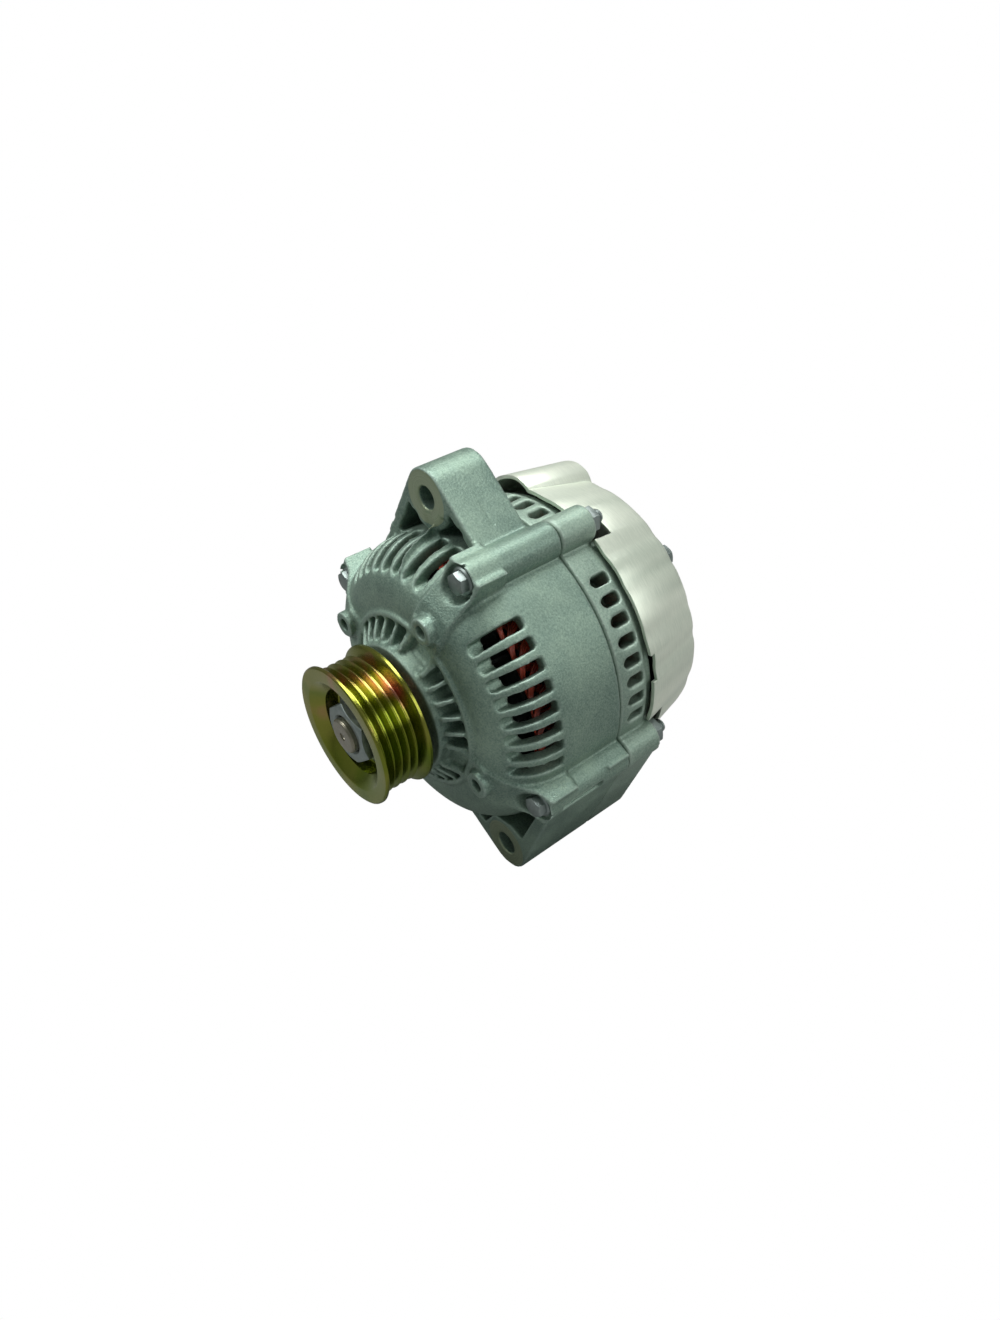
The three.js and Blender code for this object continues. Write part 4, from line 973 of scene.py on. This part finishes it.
# ---------- cover screws ----------
# Three hex headed screws with plain washers hold the cover on the rear housing's posts.
# Cold formed steel, zinc plated like the through bolts.
for k, degrees in enumerate(POST_DEGREES, 1):
    x, z = polar(POST_CIRCLE, degrees)
    hex_block = hexagon(8.0, 140.6, 145.0, x, z)
    head = cut_out("head", [hex_block], [], chamfer(8.0, 140.6, 145.0, x, z, front=False))
    washer = bar(5.6, 139.8, 141.0, x, z, 48)
    shank = bar(2.3, 123, 141, x, z, 28)
    screw = crisp(cut_out(f"end_cover_screw_{k}", [shank, washer, head], []), zinc_plate)
    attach(screw, "housing")
    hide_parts(f"cover_screw_{k}")

# ---------- rotor shaft and collar ----------
# A turned steel shaft carries every rotor piece; its plain nose shows inside the pulley nut.
# The ground steel collar spaces the pulley off the front bearing.
shaft_steel = turned_metal("shaft_steel", (0.16, 0.15, 0.11), (0.4, 0.38, 0.3), 0.3, rings=3500.0)
shaft_blank = turned([
    (0, 0), (6.6, 0), (7.4, 0.8), (7.4, 8.3), (8.5, 9.0), (8.5, 94.4), (7.5, 94.4), (7.5, 107.0),
    (6.2, 107.4), (6.2, 109), (4.5, 109), (4.5, 130.5), (4.0, 131), (0, 131),
], 64)
centre_hole = turned([(0, -1), (1.6, -1), (1.6, 0.6), (0, 2.2)], 32)
shaft = crisp(cut_out("main_shaft", [shaft_blank], [centre_hole]), shaft_steel, 0.15)
collar = crisp(cut_out(
    "bearing_collar", [bar(13.0, 23.7, 30.0, 0, 0, 72)], [bar(8.8, 20, 32, 0, 0, 64)],
), ground_steel, 0.4)
for piece, node in ((shaft, "rotor_shaft"), (collar, "collar")):
    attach(piece, "rotor")
    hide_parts(node)

# ---------- pulley ----------
# Turned steel with five belt grooves between two flanges and a dished front. The yellow zinc plating
# shifts between olive, gold, pink and green as its film gets thicker or thinner; it also runs from dark green
# at the bottom to gold at the top, a painted light from above.
GROOVES, PITCH, FLANGE = 5, 3.56, 1.95
pulley_profile = [
    (8.8, 10.5), (18.0, 10.5), (18.4, 10.1), (18.4, 4.2), (23.4, 0.1), (23.8, 0.0),
    (28.9, 0.0), (29.5, 0.4), (29.6, 0.9), (29.6, 1.3), (29.3, 1.6), (27.9, 1.9),
]
for groove in range(GROOVES):
    root = FLANGE + (groove + 0.5) * PITCH
    crest = FLANGE + (groove + 1) * PITCH
    pulley_profile += [(24.9, root - 0.45), (24.5, root - 0.25), (24.5, root + 0.25), (24.9, root + 0.45)]
    if groove < GROOVES - 1:
        pulley_profile += [
            (26.9, crest - 0.22), (27.1, crest - 0.08), (27.1, crest + 0.08), (26.9, crest + 0.22),
        ]
    else:
        pulley_profile.append((27.9, crest - 0.05))
pulley_profile += [
    (29.3, 20.2), (29.6, 20.5), (29.6, 21.5), (29.3, 21.9),
    (16.2, 21.9), (16.0, 22.1), (16.0, 23.4), (8.8, 23.4),
]
pulley = cut_out("grooved_pulley", [turned(pulley_profile, 216)], [])
pulley.data.shade_smooth()
pulley.data.set_sharp_from_angle(angle=math.radians(28))

# Plating film: colour bands that follow the film thickness round and along the piece, and a shift from dark
# green at the bottom to gold at the top that is painted light from above.
plating_film, film_in, film_out = new_group(
    "plating_film",
    [("Bands per metre", FLOAT, 36.0), ("Drift", FLOAT, 0.55)],
    [("Colour", COLOUR), ("Roughness", FLOAT)],
)
film_place = add(plating_film, "ShaderNodeTexCoord")
film_cloud = add(plating_film, "ShaderNodeTexNoise", {
    "Vector": film_place.outputs["Object"], "Scale": film_in.outputs["Bands per metre"],
    "Detail": 3.0, "Distortion": 0.6,
})
film_axis = add(plating_film, "ShaderNodeSeparateXYZ", {0: film_place.outputs["Object"]})
film_angle = add(plating_film, "ShaderNodeMath", {
    0: film_axis.outputs["Z"], 1: film_axis.outputs["X"],
}, operation="ARCTAN2")
# height round the axis: dark green below, gold above, painted light laid over the film's own tint
film_painted_top_light = add(plating_film, "ShaderNodeMath", {0: film_angle.outputs[0]}, operation="SINE")
film_tint_and_painted_top_light = add(plating_film, "ShaderNodeMapRange", {
    "Value": film_painted_top_light.outputs[0], "From Min": -1.0, "From Max": 1.0, "To Min": 0.24, "To Max": 0.6,
})
film_mix = add(plating_film, "ShaderNodeMix", {
    "Factor": film_in.outputs["Drift"], "A": film_tint_and_painted_top_light.outputs["Result"], "B": film_cloud.outputs["Fac"],
})
film_ramp = add(plating_film, "ShaderNodeValToRGB", {"Fac": film_mix.outputs["Result"]})
film_ramp.color_ramp.elements[0].position = 0.18
film_ramp.color_ramp.elements[0].color = (0.07, 0.13, 0.02, 1)
film_ramp.color_ramp.elements[1].position = 0.86
film_ramp.color_ramp.elements[1].color = (0.40, 0.36, 0.07, 1)
for position, colour in (
    (0.40, (0.17, 0.22, 0.02, 1)),
    (0.54, (0.27, 0.27, 0.05, 1)),
    (0.61, (0.5, 0.22, 0.15, 1)),
    (0.68, (0.36, 0.34, 0.05, 1)),
):
    film_ramp.color_ramp.elements.new(position).color = colour
film_fine = add(plating_film, "ShaderNodeTexNoise", {
    "Vector": film_place.outputs["Object"], "Scale": 900.0, "Detail": 3.0,
})
film_rough = add(plating_film, "ShaderNodeMapRange", {
    "Value": film_fine.outputs["Fac"], "To Min": 0.14, "To Max": 0.3,
})
plating_film.links.new(film_ramp.outputs["Color"], film_out.inputs["Colour"])
plating_film.links.new(film_rough.outputs["Result"], film_out.inputs["Roughness"])
gold_plate, gold_tree, gold_shader = new_material("yellow_zinc_plate", 1.0, 0.22)
gold_film = use_group(gold_tree, plating_film)
gold_marks = use_group(gold_tree, turning_marks, Rings_per_metre=3200.0, Wander=0.1)
gold_tree.links.new(gold_film.outputs["Colour"], gold_shader.inputs["Base Color"])
gold_tree.links.new(gold_film.outputs["Roughness"], gold_shader.inputs["Roughness"])
relief(gold_tree, gold_shader, gold_marks.outputs["Height"], 0.00003)
finished(pulley, gold_plate)
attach(pulley, "rotor")
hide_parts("pulley")

# ---------- lock washer and pulley nut ----------
# A plain thick washer in the pulley's cup and a large chamfered nut that clamps the pulley on the shaft.
# Both are zinc plated steel. The nut's thread is hidden against the shaft and left out.
lock_washer = crisp(cut_out(
    "pulley_washer", [bar(15.2, 8.6, 10.2, 0, 0, 72)], [bar(8.8, 6, 12, 0, 0, 64)],
), zinc_plate, 0.3)
nut_bore = bar(7.7, 0, 12, 0, 0, 64)
nut_countersink = turned([(0, 1.5), (9.2, 1.5), (7.7, 3.0), (0, 3.0)], 64)
shaft_nut = crisp(cut_out(
    "shaft_nut", [hexagon(24.0, 2.0, 8.3, 0, 0)], [nut_bore, nut_countersink],
    chamfer(24.0, 2.0, 8.3, 0, 0, back=False),
), zinc_plate, 0.25)
for piece, node in ((lock_washer, "lock_washer"), (shaft_nut, "pulley_nut")):
    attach(piece, "rotor")
    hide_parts(node)

# ---------- floor and light ----------
# A plain pale floor under the foot, one broad soft light overhead, and two weak ones for the near side.
# Floor and surroundings look plain white to the camera and throw only dim, soft light on the pieces.
REACH = 14.0
floor_z = cad_box[0][2] - 0.0004
floor_mesh = bpy.data.meshes.new("floor")
floor_mesh.from_pydata([
    (-REACH, -REACH, floor_z), (REACH, -REACH, floor_z), (REACH, REACH, floor_z), (-REACH, REACH, floor_z),
], [], [(0, 1, 2, 3)])
floor = bpy.data.objects.new("floor", floor_mesh)
bpy.context.scene.collection.objects.link(floor)
pale, pale_tree, pale_shader = new_material("pale_floor", 0.0, 0.9)
pale_shader.inputs["Base Color"].default_value = (0.3, 0.3, 0.3, 1)
pale_glow = add(pale_tree, "ShaderNodeEmission", {"Color": (1, 1, 1, 1), "Strength": 1.0})
pale_path = add(pale_tree, "ShaderNodeLightPath")
pale_mix = add(pale_tree, "ShaderNodeMixShader", {
    0: pale_path.outputs["Is Camera Ray"], 1: pale_shader.outputs[0], 2: pale_glow.outputs[0],
})
pale_tree.links.new(pale_mix.outputs[0], pale_tree.nodes["Material Output"].inputs["Surface"])
floor.data.materials.append(pale)

world = bpy.data.worlds.new("studio")
bpy.context.scene.world = world
world.use_nodes = True
studio = world.node_tree
studio.nodes["Background"].inputs["Color"].default_value = (0.93, 1.0, 0.96, 1)
studio.nodes["Background"].inputs["Strength"].default_value = 0.24
backdrop = add(studio, "ShaderNodeBackground", {"Color": (1, 1, 1, 1), "Strength": 1.0})
studio_path = add(studio, "ShaderNodeLightPath")
studio_mix = add(studio, "ShaderNodeMixShader", {
    0: studio_path.outputs["Is Camera Ray"], 1: studio.nodes["Background"].outputs[0], 2: backdrop.outputs[0],
})
studio.links.new(studio_mix.outputs[0], studio.nodes["World Output"].inputs["Surface"])
TARGET = Vector((0.0, 0.07, 0.0))
for name, place, size, power in (
    ("overhead", (0.0, 0.3, 0.95), 0.6, 9.0),
    ("left_side", (-0.35, -0.6, 0.8), 0.4, 4.0),
    ("near_side", (0.8, 0.45, 0.35), 0.5, 2.2),
):
    lamp_data = bpy.data.lights.new(name, "AREA")
    lamp_data.shape = "SQUARE"
    lamp_data.size = size
    lamp_data.energy = power
    lamp = bpy.data.objects.new(name, lamp_data)
    lamp.location = place
    lamp.rotation_euler = (TARGET - Vector(place)).to_track_quat("-Z", "Y").to_euler()
    bpy.context.scene.collection.objects.link(lamp)
bpy.context.scene.view_settings.view_transform = "Standard"
